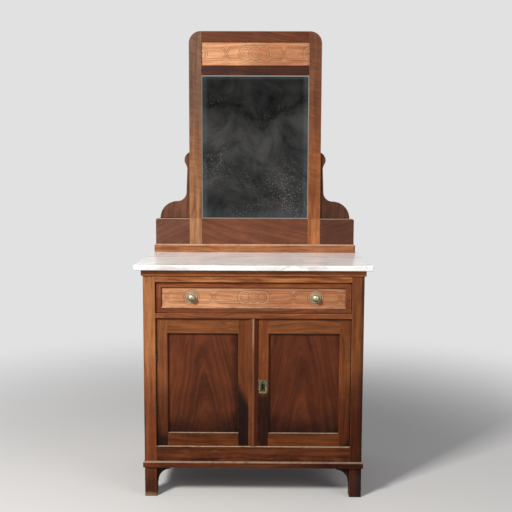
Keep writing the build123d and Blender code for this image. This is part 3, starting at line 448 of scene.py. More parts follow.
boards_low, boards_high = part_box("back_boards")
board_width = (boards_high.x - boards_low.x) / 4
nail_places = [
    Vector((boards_low.x + board_width * board + side, boards_high.y, z))
    for board in range(4) for side in (nail_inset, board_width - nail_inset)
    for z in (boards_low.z + nail_from_end, boards_high.z - nail_from_end)
]
bpy.ops.mesh.primitive_cylinder_add(vertices=10, radius=nail_head, depth=2 * nail_proud, location=nail_places[0],
                                    rotation=(math.radians(90), 0, 0))
nail = bpy.context.object
pick(nail, "FACE", lambda face: face.normal.z < -0.9)
bpy.ops.mesh.inset(thickness=nail_head * nail_facet, depth=nail_proud * nail_crown)
settle(nail, "back_board_nail_1", nail_iron, "case")
for number, spot in enumerate(nail_places[1:], start=2):
    copied(nail, f"back_board_nail_{number}", "case", Matrix.Translation(spot - nail_places[0]))

# Cornice and plinth mouldings: thin walnut strips mitred round the case. The plinth's bevel
# has lost its finish and is pale with dust. Two hollow-cut brackets stiffen the front feet.
finish(walnut("cornice_walnut", "X", "#814426", "#A76237", "#C17A48", shift=13.8, ring=0.007), "cornice_front")
finish(walnut("cornice_side_walnut", "Y", "#5A331E", "#774929", "#8C5C35", shift=14.1, ring=0.007), "cornice_returns")
# painted shade: the plinth's right end is darker, away from the left window, and its dark colours are partly shade
# low down
finish(walnut(
    "plinth_walnut", "X", "#3B1B0C", "#5C2C15", "#713D1D", shift=15.2, ring=0.008, dust=0.75, dust_colour="#AD9580",
    tones=(("#A08C86", 1.0, 0.1, ((across, 0.02, 0.3),)),),
), "plinth_moulding_front")
finish(walnut(
    "plinth_side_walnut", "Y", "#3D1F13", "#5D311D", "#74442A", shift=16.4, ring=0.008, dust=0.9,
    dust_colour="#CDB59C",
), "plinth_moulding_returns")
# painted shade: the foot brackets are nearly black, as the shade under the case
finish(walnut("foot_bracket_walnut", "X", "#1E110C", "#30180E", "#452616", shift=17.3, ring=0.009), "foot_brackets")

# Marble top: a white slab with soft grey veins that run across, sawn, polished, its arrises
# eased, and laid loose on the case. The veins are coarser than life.
# polished white marble
marble, tree, shader, place = new_material("veined_white_marble")
warp = node(tree, "TexNoise", {"Vector": place, "Scale": 5.0, "Detail": 3.0})
pushed = node(tree, "VectorMath", {0: warp.outputs["Color"], "Scale": 0.12}, operation="SCALE")
flow = node(tree, "VectorMath", {0: place, 1: pushed.outputs[0]}, operation="ADD").outputs[0]
veins = node(tree, "TexNoise", {
    "Vector": lined_up(tree, flow, "X", 0.028, 0.28, 0, 2.0), "Scale": 1.0, "Detail": 6.0, "Roughness": 0.62,
})
vein_colours = node(tree, "ValToRGB", {"Fac": veins.outputs["Fac"]})
ramp = vein_colours.color_ramp
ramp.elements[0].position, ramp.elements[0].color = 0.34, paint("#CFCCCA")
ramp.elements[1].position, ramp.elements[1].color = 0.52, paint("#FBFAF9")
soft = ramp.elements.new(0.43)
soft.color = paint("#ECEAE8")
clouds = node(tree, "TexNoise", {"Vector": flow, "Scale": 9.0, "Detail": 4.0})
cloud_colours = two_tone(tree, clouds.outputs["Fac"], 0.35, "#EFEEEE", 0.6, "#FFFFFF")
slab = mixed(tree, 1.0, vein_colours.outputs["Color"], cloud_colours, blend="MULTIPLY")
tree.links.new(slab, shader.inputs["Base Color"])
stone_edge = node(tree, "Bevel", {"Radius": 0.002}, samples=4)
tree.links.new(stone_edge.outputs[0], shader.inputs["Normal"])
shader.inputs["Roughness"].default_value = 0.24
shader.inputs["IOR"].default_value = 1.55
finish(marble, "marble_top")

# Mirror frame: a moulded base on the marble, a base board in three lengths, two stiles that run
# down through it, rails between them, and a scroll bracket sawn for each side
finish(walnut(
    "mirror_base_walnut", "X", "#6B391D", "#8F5936", "#A6704C", shift=27.4, ring=0.008, dust=0.9,
), "mirror_base_moulding")
# painted light: the stiles take a cool darker tint above 1.25 m, the left one a cool tint and the right one a warm
# darker tint, a painted colour cast and shade of the left window's light
finish(walnut(
    "mirror_stile_walnut", "Z", "#7A472E", "#A26B47", "#C2895E", shift=28.8, ring=0.016, ripple=(1.1, 1.2, 0.35),
    tones=(("#CBD5F2", 1.0, 0.2, ((high, 1.25, 1.6),)), ("#ECDBC3", 1.0, 0.01, ((across, -0.1, 0.1),)),
           ("#EEFBFF", 1.0, 0.01, ((across, 0.1, -0.1),)),
           ("#E2DAD4", 1.0, 0.004, ((high, 1.055, 1.060),))),
), "mirror_stiles")
finish(walnut(
    "mirror_top_rail_walnut", "X", "#3B190C", "#5A2C14", "#6D3B20", shift=29.9, ring=0.013, tilt=10,
), "mirror_top_rail")
finish(walnut(
    "mirror_middle_rail_walnut", "X", "#240C05", "#39180A", "#4B2211", shift=30.4, ring=0.009,
), "mirror_middle_rail")
finish(walnut(
    "mirror_low_rail_walnut", "X", "#412116", "#653A26", "#794A33", shift=30.9, ring=0.014, tilt=12, contrast=0.6,
), "mirror_bottom_rail")
# painted shade: the right wing is darker, away from the left window; the pale line along the wings' top is dust with
# a painted highlight of the ledge there
finish(walnut(
    "mirror_wing_walnut", "X", "#442419", "#613B2C", "#744B38", shift=31.1, ring=0.014, tilt=-22, contrast=0.55,
    tones=(("#D6CCC6", 1.0, 0.01, ((across, -0.1, 0.1),)),),
    wear_dirt_and_painted_light=(("#C0A592", 0.55, 0.002, ((high, 1.0535, 1.0555),)),),
), "mirror_wings")
# painted shade: the right bracket is darker, away from the left window
finish(walnut(
    "scroll_bracket_walnut", "Z", "#3E2013", "#5C3725", "#6D4531", shift=32.3, ring=0.014,
    tones=(("#D0C6C2", 1.0, 0.01, ((across, -0.1, 0.1),)), ("#6A5A54", 1.0, 0.003, ((high, 1.0615, 1.0585),))),
), "scroll_brackets")

# Mirror glass: old silvering, painted dark and cloudy, partly as tarnish and partly as the
# reflection of a dark room, speckled most low down, and gone altogether in a thin line round
# the edge. It is painted darker high up and low down, as in the photograph: a painted reflection.
# glass over failing silver
silvered, tree, shader, place = new_material("old_silvered_glass")
haze = node(tree, "TexNoise", {"Vector": place, "Scale": 7.0, "Detail": 6.0, "Roughness": 0.66,
                                         "Distortion": 0.6})
haze_colours = two_tone(tree, haze.outputs["Fac"], 0.36, "#282828", 0.68, "#5E5D5B")
parts = node(tree, "SeparateXYZ", {0: place})
sight_low, sight_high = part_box("mirror_glass")
rebate = 0.0065
sight_x, sight_bottom, sight_top = 0.229, sight_low.z + rebate, sight_high.z - rebate
# painted reflection: the glass is darker high up and low down
painted_reflection_high = remap(tree, parts.outputs["Z"], 1.36, 1.6, 1.0, 0.42, smooth=True)
sunk = remap(tree, parts.outputs["Z"], 1.3, 1.12, 1.0, 0.7, smooth=True)
both = maths(tree, "MULTIPLY", painted_reflection_high, sunk)
glass = node(tree, "VectorMath", {0: haze_colours, "Scale": both},
             operation="SCALE").outputs[0]
out = maths(tree, "ABSOLUTE", parts.outputs["X"])
for reach, start, full in (
    (out, sight_x - 0.03, sight_x - 0.012), (parts.outputs["Z"], sight_bottom + 0.09, sight_bottom),
    (parts.outputs["Z"], sight_top - 0.022, sight_top - 0.006),
):
    rim = remap(tree, reach, start, full, 0.0, 0.35, smooth=True)
    uneven = maths(tree, "MULTIPLY", rim, haze.outputs["Fac"])
    glass = mixed(tree, uneven, glass, paint("#7E8484"))
specks = node(tree, "TexVoronoi", {"Vector": place, "Scale": 130.0, "Randomness": 1.0})
speck = remap(tree, specks.outputs["Distance"], 0.26, 0.16)
damp = node(tree, "TexNoise", {"Vector": place, "Scale": 6.5, "Detail": 3.0})
low = remap(tree, parts.outputs["Z"], 1.5, 1.1, 0.0, 0.14)
wet = maths(tree, "ADD", damp.outputs["Fac"], low)
foxed = remap(tree, wet, 0.55, 0.75, 0.0, 0.75)
spotted = maths(tree, "MULTIPLY", speck, foxed)
glass = mixed(tree, spotted, glass, paint("#A8A690"))
for reach, start, full in (
    (out, sight_x - 0.0030, sight_x - 0.0022),
    (parts.outputs["Z"], sight_bottom + 0.0030, sight_bottom + 0.0022),
    (parts.outputs["Z"], sight_top - 0.0052, sight_top - 0.0042),
):
    bare = remap(tree, reach, start, full, 0.0, 0.8)
    glass = mixed(tree, bare, glass, paint("#C9C8C2"))
tree.links.new(glass, shader.inputs["Base Color"])
shader.inputs["Metallic"].default_value = 1.0
shader.inputs["Roughness"].default_value = 0.08
finish(silvered, "mirror_glass")

# Carved panels: thin pale pear wood, planed flat, cut with interlaced ribbons and rings by
# a parting tool, the ground between them roughened with a punch. This one is in the mirror.
cut_depth = 0.0011
cut_half_width = 1.7
ground_depth = 0.0006
carving_step = 0.00105
# pale pear wood, unpolished
# painted shade: the right half of each carved board is darker, away from the left window
pear_wood = walnut(
    "carved_pear_wood", "X", "#AD6C49", "#C68C63", "#D8A47E", shift=26.2, ring=0.009, worn="#D9B08E", dust=0.3,
    rough=0.6, wear=0.2, fibre=0.06, tones=(("#E0D2CC", 1.0, 0.02, ((across, -0.05, 0.05),)),),
)
tree = pear_wood.node_tree
shader = tree.nodes["Principled BSDF"]
plain_wood = shader.inputs["Base Color"].links[0].from_socket
place = node(tree, "TexCoord").outputs["Object"]
cut_share = node(tree, "Attribute", attribute_name="cut").outputs["Fac"]
ground_share = node(tree, "Attribute", attribute_name="ground").outputs["Fac"]
# the punch leaves dots about four millimetres apart
dots = node(tree, "TexVoronoi", {"Vector": place, "Scale": 230.0, "Randomness": 0.5})
punched = remap(tree, dots.outputs["Distance"], 0.2, 0.5, 1.3, 0.62)
pricked = node(tree, "VectorMath", {0: paint("#CCAA88")[:3], "Scale": punched},
               operation="SCALE")
half_ground = maths(tree, "MULTIPLY", ground_share, 0.32)
roughened = mixed(tree, half_ground, plain_wood, pricked.outputs[0])
dirt = maths(tree, "MULTIPLY", cut_share, 0.95)
dirty = mixed(tree, dirt, roughened, paint("#74482C"))
tree.links.new(dirty, shader.inputs["Base Color"])


def cut_line(distance):
    """Depth share of a V cut whose middle is this many millimetres away."""
    return max(0.0, 1.0 - abs(distance) / cut_half_width)


def carving(x, z, discs, oval, rings, rise, band, crossings, eyes):
    """The share of the cut's depth at a point of a panel, and that of the punched ground."""
    for middle, radius, boss in discs:
        away = math.hypot(x - middle, z)
        if away < radius + cut_half_width:
            return max(cut_line(away - radius), 0.7 * cut_line(away - boss)), 0.0
    half_length, half_height = oval
    from_oval = math.hypot(max(abs(x) - half_length + half_height, 0.0), z) - half_height
    if from_oval < cut_half_width:
        return cut_line(from_oval), 1.0 if from_oval < 0 else 0.0
    for middle, inner, outer in rings:
        away = math.hypot(abs(x) - middle, z)
        if away < outer + cut_half_width:
            edges = max(cut_line(away - outer), cut_line(away - inner))
            return edges, 1.0 if inner < away < outer else 0.0
    swing, slope, over = 1.0, 0.0, 1.0
    for middle, half in crossings:
        passed = (abs(x) - middle + half) / (2 * half)
        if passed > 1:
            swing, over = -swing, -over
        elif passed > 0:
            slope = math.pi * rise / (2 * half) * math.sin(math.pi * passed)
            swing *= math.cos(math.pi * passed)
            break
    across_band = 1 / math.hypot(1, slope)
    first = abs(z - rise * swing * over) * across_band
    second = abs(z + rise * swing * over) * across_band
    if first < band / 2 + cut_half_width:
        return cut_line(first - band / 2), 0.0
    if second < band / 2 + cut_half_width:
        return cut_line(second - band / 2), 0.0
    for middle, off, radius in eyes:
        away = math.hypot(abs(x) - middle, abs(z) - off)
        if away < radius:
            return 0.6 * cut_line(away - radius), 1.0
    return 0.0, 0.0


def carved_board(name, node_name, body, design):
    """A board in a CAD panel's place, its front carved to the design."""
    low_corner, high_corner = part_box(node_name)
    size = high_corner - low_corner
    middle = (low_corner + high_corner) / 2
    bpy.ops.mesh.primitive_grid_add(
        x_subdivisions=round(size.x / carving_step), y_subdivisions=round(size.z / carving_step), size=1,
        location=(middle.x, low_corner.y, middle.z), rotation=(math.radians(90), 0, 0),
    )
    board = bpy.context.object
    board.scale = (size.x, size.z, 1)
    bpy.ops.object.transform_apply(location=True, rotation=True, scale=True)
    cuts = board.data.attributes.new("cut", "FLOAT", "POINT")
    grounds = board.data.attributes.new("ground", "FLOAT", "POINT")
    for number, point in enumerate(board.data.vertices):
        cut, ground = carving((point.co.x - middle.x) * 1000, (point.co.z - middle.z) * 1000, *design)
        cuts.data[number].value, grounds.data[number].value = cut, ground
        point.co.y += max(cut * cut_depth, ground * ground_depth)
    pick(board, "EDGE", lambda edge: edge.is_boundary)
    bpy.ops.mesh.extrude_edges_move()
    shape = bmesh.from_edit_mesh(board.data)
    for point in shape.verts:
        if point.select:
            point.co.y = high_corner.y
    bmesh.update_edit_mesh(board.data)
    bpy.ops.mesh.edge_face_add()
    bpy.ops.mesh.select_all(action="SELECT")
    bpy.ops.mesh.normals_make_consistent(inside=False)
    settle(board, name, pear_wood, body, angle=60)
    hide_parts(node_name)
    return board


mirror_design = (
    ((0, 28, 18), (34, 27, 17), (-34, 27, 17)), (70, 34), ((233, 22, 31),), 24, 7, ((122, 20),), ((122, 26, 6),),
)
carved_board("mirror_carved_board", "mirror_carved_panel", "case", mirror_design)

# Drawer: a carved pear-wood panel sunk in a dark walnut moulding with mitred corners, on a
# front that is dovetailed to its sides
finish(walnut(
    "drawer_moulding_walnut", "X", "#5B2F1F", "#834828", "#9D6037", shift=25.1, ring=0.008, contrast=1.2,
    mitre=(0.350, 0.78225, 0.03675), dust=0.8,
    tones=(("#E2DCD8", 1.0, 0.004, ((high, 0.782, 0.779),)),),
), "drawer_moulding", "drawer_front")
drawer_design = (
    ((0, 19, 11), (31, 19.5, 12), (-31, 19.5, 12)), (62, 26), ((236, 23, 30),), 20, 7, ((152, 24), (331, 19)),
    ((152, 23, 6),),
)
carved_board("drawer_carved_board", "drawer_carved_panel", "drawer", drawer_design)

# Knobs: brass, cast and turned, with a domed head on a waisted neck. The shank goes through the
# drawer front into a nut. Each stands on a scalloped plate stamped from sheet.
knob_x, knob_z = 0.236, 0.78225
# turned brass, handled bright in places
aged_brass, tree, shader, place = new_material("aged_turned_brass")
spots = node(tree, "TexNoise", {"Vector": place, "Scale": 160.0, "Detail": 4.0, "Roughness": 0.6})
brass_colours = two_tone(tree, spots.outputs["Fac"], 0.38, "#93886A", 0.62, "#D8CFAE")
tree.links.new(brass_colours, shader.inputs["Base Color"])
dull = remap(tree, spots.outputs["Fac"], 0.0, 1.0, 0.58, 0.34)
tree.links.new(dull, shader.inputs["Roughness"])
shader.inputs["Metallic"].default_value = 1.0
# the turner's profile from the shank's end to the crown: radius and place along Y
knob_profile = (
    (3.0, -190.0), (3.0, -218.4), (8.6, -218.4), (8.9, -219.0), (8.4, -219.9), (6.2, -220.8), (5.3, -222.4),
    (5.6, -224.2), (7.4, -226.2), (10.4, -227.8), (12.9, -228.9), (13.5, -230.0), (13.4, -231.2), (12.7, -232.9),
    (11.4, -234.8), (9.4, -236.6), (6.9, -238.0), (4.0, -239.0), (1.6, -239.3),
)
bpy.ops.mesh.primitive_circle_add(vertices=48, radius=knob_profile[0][0] / 1000, fill_type="NGON",
                                  location=(knob_x, knob_profile[0][1] / 1000, knob_z),
                                  rotation=(math.radians(90), 0, 0))
left_knob = bpy.context.object
bpy.ops.object.transform_apply(location=True, rotation=True, scale=True)
pick(left_knob, "FACE", lambda face: True)
for (old_radius, old_y), (radius, y) in zip(knob_profile, knob_profile[1:]):
    bpy.ops.mesh.extrude_region_move(TRANSFORM_OT_translate={"value": (0, (y - old_y) / 1000, 0)})
    grow = radius / old_radius
    bpy.ops.transform.resize(value=(grow, 1, grow), center_override=(knob_x, y / 1000, knob_z))
bpy.ops.object.mode_set(mode="OBJECT")
bpy.ops.mesh.primitive_cylinder_add(vertices=6, radius=0.008, depth=0.004, location=(knob_x, -0.192, knob_z),
                                    rotation=(math.radians(90), 0, 0))
nut = bpy.context.object
bpy.ops.object.transform_apply(location=True, rotation=True, scale=True)
pick(nut, "EDGE", lambda edge: True)
bpy.ops.mesh.bevel(offset=0.0005, segments=2)
bpy.ops.object.mode_set(mode="OBJECT")
nut.select_set(True)
left_knob.select_set(True)
bpy.context.view_layer.objects.active = left_knob
bpy.ops.object.join()
pick(left_knob, "FACE", lambda face: True)
bpy.ops.mesh.remove_doubles(threshold=0.00001)
bpy.ops.mesh.normals_make_consistent(inside=False)
right_knob = settle(left_knob, "right_turned_knob", aged_brass, "drawer", angle=40)
left_knob = copied(right_knob, "left_turned_knob", "drawer", Matrix.Diagonal((-1, 1, 1, 1)))
for knob in (left_knob, right_knob):
    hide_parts("drawer_knobs")

# Knob plates: thin sheet brass stamped with a scalloped rim and a ring of bosses, gone pale,
# each trapped under its knob
plate_lobes = 14
plate_steps = plate_lobes * 8
scallop_start, scallop_width, scallop_share = 0.0185, 0.0039, 0.075
bead_ring, bead_width = 0.0192, 0.0016
outer_moat, inner_moat, moat_width = 0.0160, 0.0112, 0.0012
stamping_depth = 0.0011
plate_low, plate_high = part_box("knob_rosettes")
plate_rings = (22.4, 20.6, 19.2, 17.8, 16.4, 15.2, 14.0, 12.4, 10.6, 9.0)
# sheet brass with old polish left in its hollows
stamped_brass, tree, shader, place = new_material("stamped_brass")
spots = node(tree, "TexNoise", {"Vector": place, "Scale": 420.0, "Detail": 3.0, "Roughness": 0.6})
stamped_colours = two_tone(tree, spots.outputs["Fac"], 0.4, "#A88E6C", 0.6, "#E0CBA8")
pressed = node(tree, "Attribute", attribute_name="pressed").outputs["Fac"]
grimy = mixed(tree, pressed, stamped_colours, paint("#6B5E4C"))
tree.links.new(grimy, shader.inputs["Base Color"])
shader.inputs["Metallic"].default_value = 0.3
shader.inputs["Roughness"].default_value = 0.5
bpy.ops.mesh.primitive_circle_add(vertices=plate_steps, radius=plate_rings[0] / 1000, fill_type="NGON",
                                  location=(knob_x, plate_low.y, knob_z), rotation=(math.radians(90), 0, 0))
plate = bpy.context.object
bpy.ops.object.transform_apply(location=True, rotation=True, scale=True)
pick(plate, "FACE", lambda face: True)
for wide, narrow in zip(plate_rings, plate_rings[1:]):
    bpy.ops.mesh.inset(thickness=(wide - narrow) / 1000)
pick(plate, "EDGE", lambda edge: edge.is_boundary)
bpy.ops.mesh.extrude_edges_move(TRANSFORM_OT_translate={"value": (0, plate_high.y - plate_low.y, 0)})
bpy.ops.mesh.edge_face_add()
bpy.ops.object.mode_set(mode="OBJECT")
presses = plate.data.attributes.new("pressed", "FLOAT", "POINT")
for number, point in enumerate(plate.data.vertices):
    x, z = point.co.x - knob_x, point.co.z - knob_z
    radius, angle = math.hypot(x, z), math.atan2(z, x)
    lobe = abs(math.cos(plate_lobes * angle / 2))
    if radius > scallop_start:
        reach = 1 + scallop_share * (lobe - 0.72) * (radius - scallop_start) / scallop_width
        point.co.x, point.co.z = knob_x + x * reach, knob_z + z * reach
    if point.co.y < plate_high.y - 0.0001:
        beaded = math.exp(-((radius - bead_ring) / bead_width) ** 2) * lobe
        moat = math.exp(-((radius - outer_moat) / moat_width) ** 2)
        moat += 0.7 * math.exp(-((radius - inner_moat) / moat_width) ** 2)
        rim = max(0.0, (radius - 0.0205) / 0.0019)
        sunk = min(1.0, max(moat, rim, 0.55 * (1 - beaded) if radius > 0.0175 else 0))
        point.co.y += stamping_depth * sunk
        presses.data[number].value = min(1.0, sunk)
pick(plate, "FACE", lambda face: True)
bpy.ops.mesh.normals_make_consistent(inside=False)
right_plate = settle(plate, "right_knob_plate", stamped_brass, "drawer", angle=50)
left_plate = copied(right_plate, "left_knob_plate", "drawer", Matrix.Diagonal((-1, 1, 1, 1)))
for plate in (left_plate, right_plate):
    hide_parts("knob_rosettes")

# Doors: walnut frames round sunk flame-figured panels. The photograph shows dark patches low on
# the stiles, whose cause isn't known, and a pale ridge over the joint.
# the dark patches are on the doors' front faces only
door_front_face = (deep, -0.205, -0.215)
# painted shade: both hinge stiles darken below half a metre, partly as the light's fall-off towards the floor
finish(walnut(
    "left_hinge_stile_walnut", "Z", "#5E321B", "#7F4929", "#925A31", shift=18.5,
    tones=(("#B09B83", 1.0, 0.1, ((high, 0.5, 0.28),)),
           ("#3A2E2A", 0.95, 0.07, (((0.9, 0, 1), -0.03, -0.12), door_front_face))),
), "left_hinge_stile")
finish(walnut(
    "right_hinge_stile_walnut", "Z", "#562B13", "#76411E", "#8A5028", shift=19.9,
    tones=(("#B1977C", 1.0, 0.1, ((high, 0.5, 0.28),)),
           ("#4A3A36", 0.8, 0.04, (((-0.9, 0, 1), -0.09, -0.13), door_front_face))),
), "right_hinge_stile")
# painted light: the tone right of the ridge is painted shade on its right slope, and the pale ridge is wear with a
# painted highlight, brightest above 0.6 m
finish(walnut(
    "left_meeting_stile_walnut", "Z", "#4E2510", "#683619", "#7C4423", shift=20.6,
    tones=(("#3A2B26", 0.97, 0.012, (((1.9, 0, 1), 0.375, 0.300), (across, -0.0165, -0.0190), door_front_face)),
           ("#C4A078", 1.0, 0.002, ((across, 0.003, 0.006),))),
    wear_dirt_and_painted_light=(("#8A6452", 0.32, 0.002, ((across, -0.0045, -0.001), (across, 0.0045, 0.001), (deep, -0.2268, -0.2276))),
          ("#C9A593", 0.45, 0.004, ((across, -0.0045, -0.001), (across, 0.0045, 0.001), (high, 0.55, 0.64)))),
), "left_meeting_stile")
finish(walnut(
    "right_meeting_stile_walnut", "Z", "#5B2B12", "#783F1D", "#8D5027", shift=21.8,
    tones=(("#4C342A", 0.97, 0.03, ((high, 0.44, 0.385), door_front_face)),),
), "right_meeting_stile")
# painted shade: the bottom rails are darker than the top ones, partly as the light's fall-off towards the floor
finish(walnut(
    "door_rail_walnut", "X", "#582F15", "#7A4524", "#8D562E", shift=22.7, ring=0.01,
    dust_colour="#B7A795", dust=0.8, tones=(("#CCBEA1", 1.0, 0.05, ((high, 0.6, 0.3),)),),
), "left_door_rails", "right_door_rails")
# painted shade: both panels are darker and greyer low down, partly as the light's fall-off and partly as dirt, and
# the left one is darker beside the meeting stile, as shade from the stile
finish(walnut(
    "left_panel_flame_walnut", "Z", "#37180C", "#5C2D17", "#753D20", shift=23.3, ring=0.017,
    flame=(-0.19, 0.17, 0.02), rough=0.4, wear=0.0, contrast=0.8, fibre=0.11,
    tones=(("#5C4C4C", 0.8, 0.09, ((high, 0.36, 0.25),)), ("#8C7C7C", 0.8, 0.05, ((across, -0.1, -0.06),))),
), "left_door_panel")
finish(walnut(
    "right_panel_flame_walnut", "Z", "#351609", "#562813", "#6E381C", shift=24.6, ring=0.017,
    flame=(0.185, 0.17, 0.02), rough=0.4, wear=0.0, contrast=0.8, fibre=0.11,
    tones=(("#5C4C4C", 0.8, 0.09, ((high, 0.36, 0.25),)),),
), "right_door_panel")

# Hinges: cast brass leaves let into the posts and the doors, coloured nearly black, three screws
# with slotted countersunk heads in each leaf
# cast brass, nearly black
hinge_brass, tree, shader, place = new_material("near_black_hinge_brass")
spots = node(tree, "TexNoise", {"Vector": place, "Scale": 140.0, "Detail": 4.0, "Roughness": 0.6})
hinge_colours = two_tone(tree, spots.outputs["Fac"], 0.42, "#2B1F16", 0.72, "#6E5638")
tree.links.new(hinge_colours, shader.inputs["Base Color"])
shader.inputs["Metallic"].default_value = 0.7
shader.inputs["Roughness"].default_value = 0.45
finish(hinge_brass, "hinge_case_leaves", "left_door_leaves", "right_door_leaves")
screw_radius = 0.0026
screw_proud = 0.00035
screw_slot = 0.0007
leaf_depth = (-0.217, -0.207, -0.212)
leaf_heights = (0.326, 0.361, 0.3435, 0.543, 0.578, 0.5605)
post_leaf_x, door_leaf_x = 0.3740, 0.3720


def screw_head(name, material, spot, facing, body, radius=screw_radius):
    """A slotted screw head on a surface, its slot turned as it was left."""
    bpy.ops.mesh.primitive_cylinder_add(vertices=20, radius=radius, depth=2 * screw_proud, location=(0, 0, 0))
    head = bpy.context.object
    pick(head, "EDGE", lambda edge: all(point.co.z > 0 for point in edge.verts))
    bpy.ops.mesh.bevel(offset=screw_proud * 0.6, segments=2)
    pick(head, "FACE", lambda face: face.normal.z > 0.9)
    for side in (-1, 1):
        bpy.ops.mesh.bisect(plane_co=(0, side * screw_slot / 2, 0), plane_no=(0, 1, 0))
        bpy.ops.mesh.select_all(action="SELECT")
    pick(head, "FACE", lambda face: face.normal.z > 0.9 and abs(face.calc_center_median().y) < screw_slot / 4)
    bpy.ops.mesh.extrude_region_move(TRANSFORM_OT_translate={"value": (0, 0, -screw_proud * 0.9)})
    bpy.ops.object.mode_set(mode="OBJECT")
    turned = Vector(facing).to_track_quat("Z", "Y").to_matrix().to_4x4()
    head.data.transform(Matrix.Translation(spot) @ turned @ Matrix.Rotation(sum(spot) * 40, 4, "Z"))
    return settle(head, name, material, body, angle=30)


for side, sign, door in (("left", -1, "left_door"), ("right", 1, "right_door")):
    for number, z in enumerate(leaf_heights, start=1):
        y = leaf_depth[(number - 1) % 3]
        screw_head(f"{side}_post_leaf_screw_{number}", hinge_brass, Vector((sign * post_leaf_x, y, z)), (-sign, 0, 0),
                   "case")
        screw_head(f"{side}_door_leaf_screw_{number}", hinge_brass, Vector((sign * door_leaf_x, y, z)), (sign, 0, 0),
                   door)

# Lock and bolts: a black iron cupboard lock screwed to the back of the right door, and a flush
# bolt let into the back of the left one
# iron under worn black varnish
old_iron, tree, shader, place = new_material("old_black_iron")
rust = node(tree, "TexNoise", {"Vector": place, "Scale": 90.0, "Detail": 5.0, "Roughness": 0.65})
iron_colours = two_tone(tree, rust.outputs["Fac"], 0.42, "#3B3735", 0.68, "#6A4632")
tree.links.new(iron_colours, shader.inputs["Base Color"])
shader.inputs["Metallic"].default_value = 0.85
shader.inputs["Roughness"].default_value = 0.55
finish(old_iron, "lock_case", "lock_bolt", "left_bolt", "bolt_plate")
lock_screw_inset = 0.004
bolt_screw_inset = 0.005
lock_low, lock_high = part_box("lock_case")
lock_corners = [
    (x, z) for z in (lock_low.z + lock_screw_inset, lock_high.z - lock_screw_inset)
    for x in (lock_low.x + lock_screw_inset, lock_high.x - lock_screw_inset)
]
for number, (x, z) in enumerate(lock_corners, start=1):
    screw_head(f"lock_screw_{number}", old_iron, Vector((x, lock_high.y, z)), (0, 1, 0), "right_door")
bolt_low, bolt_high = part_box("bolt_plate")
for number, z in enumerate((bolt_low.z + bolt_screw_inset, bolt_high.z - bolt_screw_inset), start=1):
    screw_head(f"bolt_plate_screw_{number}", old_iron, Vector(((bolt_low.x + bolt_high.x) / 2, bolt_high.y, z)),
               (0, 1, 0), "left_door")

# Escutcheon: a thin brass plate round the keyhole, stamped with a scroll over an arch.
# Its raised parts are rubbed bright and the hollow of the arch is black.
plate_low, plate_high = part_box("escutcheon")
plate_size = plate_high - plate_low
plate_middle = (plate_low + plate_high) / 2
corner_radius = 0.009
relief = 0.0008
stamping_step = 0.0006
# the stamped lines, in millimetres from the plate's middle
arch_half_width, arch_middle, arch_foot, bead_radius = 9.4, 2, -20, 12.4
scrolls = ((7.5, 17.5, 4.2), (0.0, 20.0, 3.2))
border_x, border_z = 14.6, 25.0
keyhole_radius, keyhole_slot, keyhole_drop = 0.0045, 0.006, 0.019
lock_z = plate_middle.z + 0.005
# the blank: a block with its lower corners rounded and the keyhole cut through
bpy.ops.mesh.primitive_cube_add(size=1, location=plate_middle)
blank = bpy.context.object
blank.scale = (plate_size.x, plate_size.y + 0.001, plate_size.z)
bpy.ops.object.transform_apply(location=True, rotation=True, scale=True)
pick(blank, "EDGE", lambda edge: all(point.co.z < plate_low.z + 0.001 for point in edge.verts)
     and abs(edge.verts[0].co.y - edge.verts[1].co.y) > 0.001)
bpy.ops.mesh.bevel(offset=corner_radius, segments=8)
bpy.ops.object.mode_set(mode="OBJECT")
bpy.ops.mesh.primitive_cylinder_add(vertices=24, radius=keyhole_radius, depth=0.01,
                                    location=(plate_middle.x, plate_middle.y, lock_z),
                                    rotation=(math.radians(90), 0, 0))
round_cut = bpy.context.object
bpy.ops.mesh.primitive_cube_add(size=1, location=(plate_middle.x, plate_middle.y, lock_z - keyhole_drop / 2))
slot_cut = bpy.context.object
slot_cut.scale = (keyhole_slot, 0.01, keyhole_drop)
bpy.ops.object.transform_apply(location=True, rotation=True, scale=True)
bpy.ops.mesh.primitive_grid_add(
    x_subdivisions=round(plate_size.x / stamping_step), y_subdivisions=round(plate_size.z / stamping_step), size=1,
    location=(plate_middle.x, plate_low.y, plate_middle.z), rotation=(math.radians(90), 0, 0),
)
escutcheon = bpy.context.object
escutcheon.scale = (plate_size.x * 0.999, plate_size.z * 0.999, 1)
bpy.ops.object.transform_apply(location=True, rotation=True, scale=True)
presses = escutcheon.data.attributes.new("pressed", "FLOAT", "POINT")
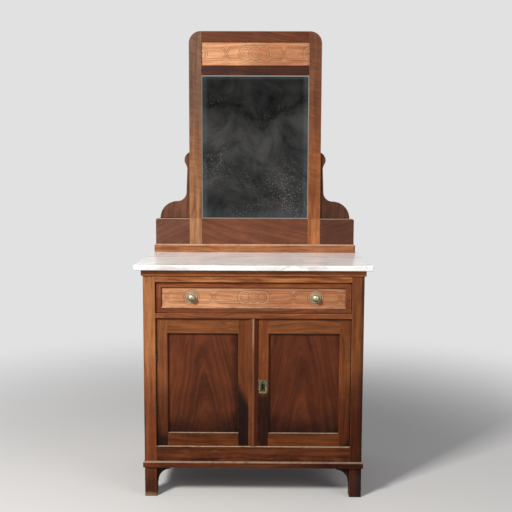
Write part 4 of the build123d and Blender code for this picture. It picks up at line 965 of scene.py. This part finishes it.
for number, point in enumerate(escutcheon.data.vertices):
    x, z = (point.co.x - plate_middle.x) * 1000, (point.co.z - plate_middle.z) * 1000
    # an arched hollow round the keyhole, a bead round it, a scroll over it and a sunk border
    from_middle = math.hypot(x, z - arch_middle)
    above = z > arch_middle
    in_arch = max(abs(x) - arch_half_width, from_middle - arch_half_width if above else arch_foot - z)
    hollow = 0.85 if in_arch < 0 else max(0.0, 0.85 - in_arch)
    scroll = max(
        cut_line((from_middle - bead_radius) * 0.7) if above else 0.0,
        *(cut_line((math.hypot(abs(x) - aside, z - height) - radius) * 0.7) for aside, height, radius in scrolls),
    )
    border = max(cut_line(abs(x) - border_x), cut_line(z - border_z) if abs(x) < border_x else 0.0)
    pressed = min(1.0, max(hollow, 0.95 * scroll, 0.6 * border))
    point.co.y += relief * pressed
    presses.data[number].value = pressed
pick(escutcheon, "EDGE", lambda edge: edge.is_boundary)
bpy.ops.mesh.extrude_edges_move(TRANSFORM_OT_translate={"value": (0, plate_size.y + 0.0005, 0)})
bpy.ops.mesh.edge_face_add()
bpy.ops.mesh.select_all(action="SELECT")
bpy.ops.mesh.normals_make_consistent(inside=False)
bpy.ops.object.mode_set(mode="OBJECT")
for shape in (round_cut, slot_cut):
    bpy.ops.object.select_all(action="DESELECT")
    blank.select_set(True)
    bpy.context.view_layer.objects.active = blank
    cutting = blank.modifiers.new("cut", "BOOLEAN")
    cutting.object, cutting.operation, cutting.solver = shape, "DIFFERENCE", "EXACT"
    bpy.ops.object.modifier_apply(modifier="cut")
blank.data.transform(Matrix.Translation((0, -0.0005, 0)))
for point in blank.data.vertices:
    point.co.y = min(point.co.y, plate_high.y)
bpy.ops.object.select_all(action="DESELECT")
escutcheon.select_set(True)
bpy.context.view_layer.objects.active = escutcheon
cutting = escutcheon.modifiers.new("cut", "BOOLEAN")
cutting.object, cutting.operation, cutting.solver = blank, "INTERSECT", "EXACT"
bpy.ops.object.modifier_apply(modifier="cut")
for spare in (round_cut, slot_cut, blank):
    bpy.data.objects.remove(spare)
# sheet brass, bright where it is rubbed and black in the hollows
rubbed_brass, tree, shader, place = new_material("rubbed_escutcheon_brass")
spots = node(tree, "TexNoise", {"Vector": place, "Scale": 300.0, "Detail": 3.0, "Roughness": 0.6})
rubbed_colours = two_tone(tree, spots.outputs["Fac"], 0.38, "#5E563E", 0.6, "#BFB48E")
pressed = node(tree, "Attribute", attribute_name="pressed").outputs["Fac"]
grimy = mixed(tree, pressed, rubbed_colours, paint("#14150F"))
tree.links.new(grimy, shader.inputs["Base Color"])
shader.inputs["Metallic"].default_value = 0.8
shader.inputs["Roughness"].default_value = 0.38
settle(escutcheon, "stamped_escutcheon", rubbed_brass, "right_door", angle=45)
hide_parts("escutcheon")
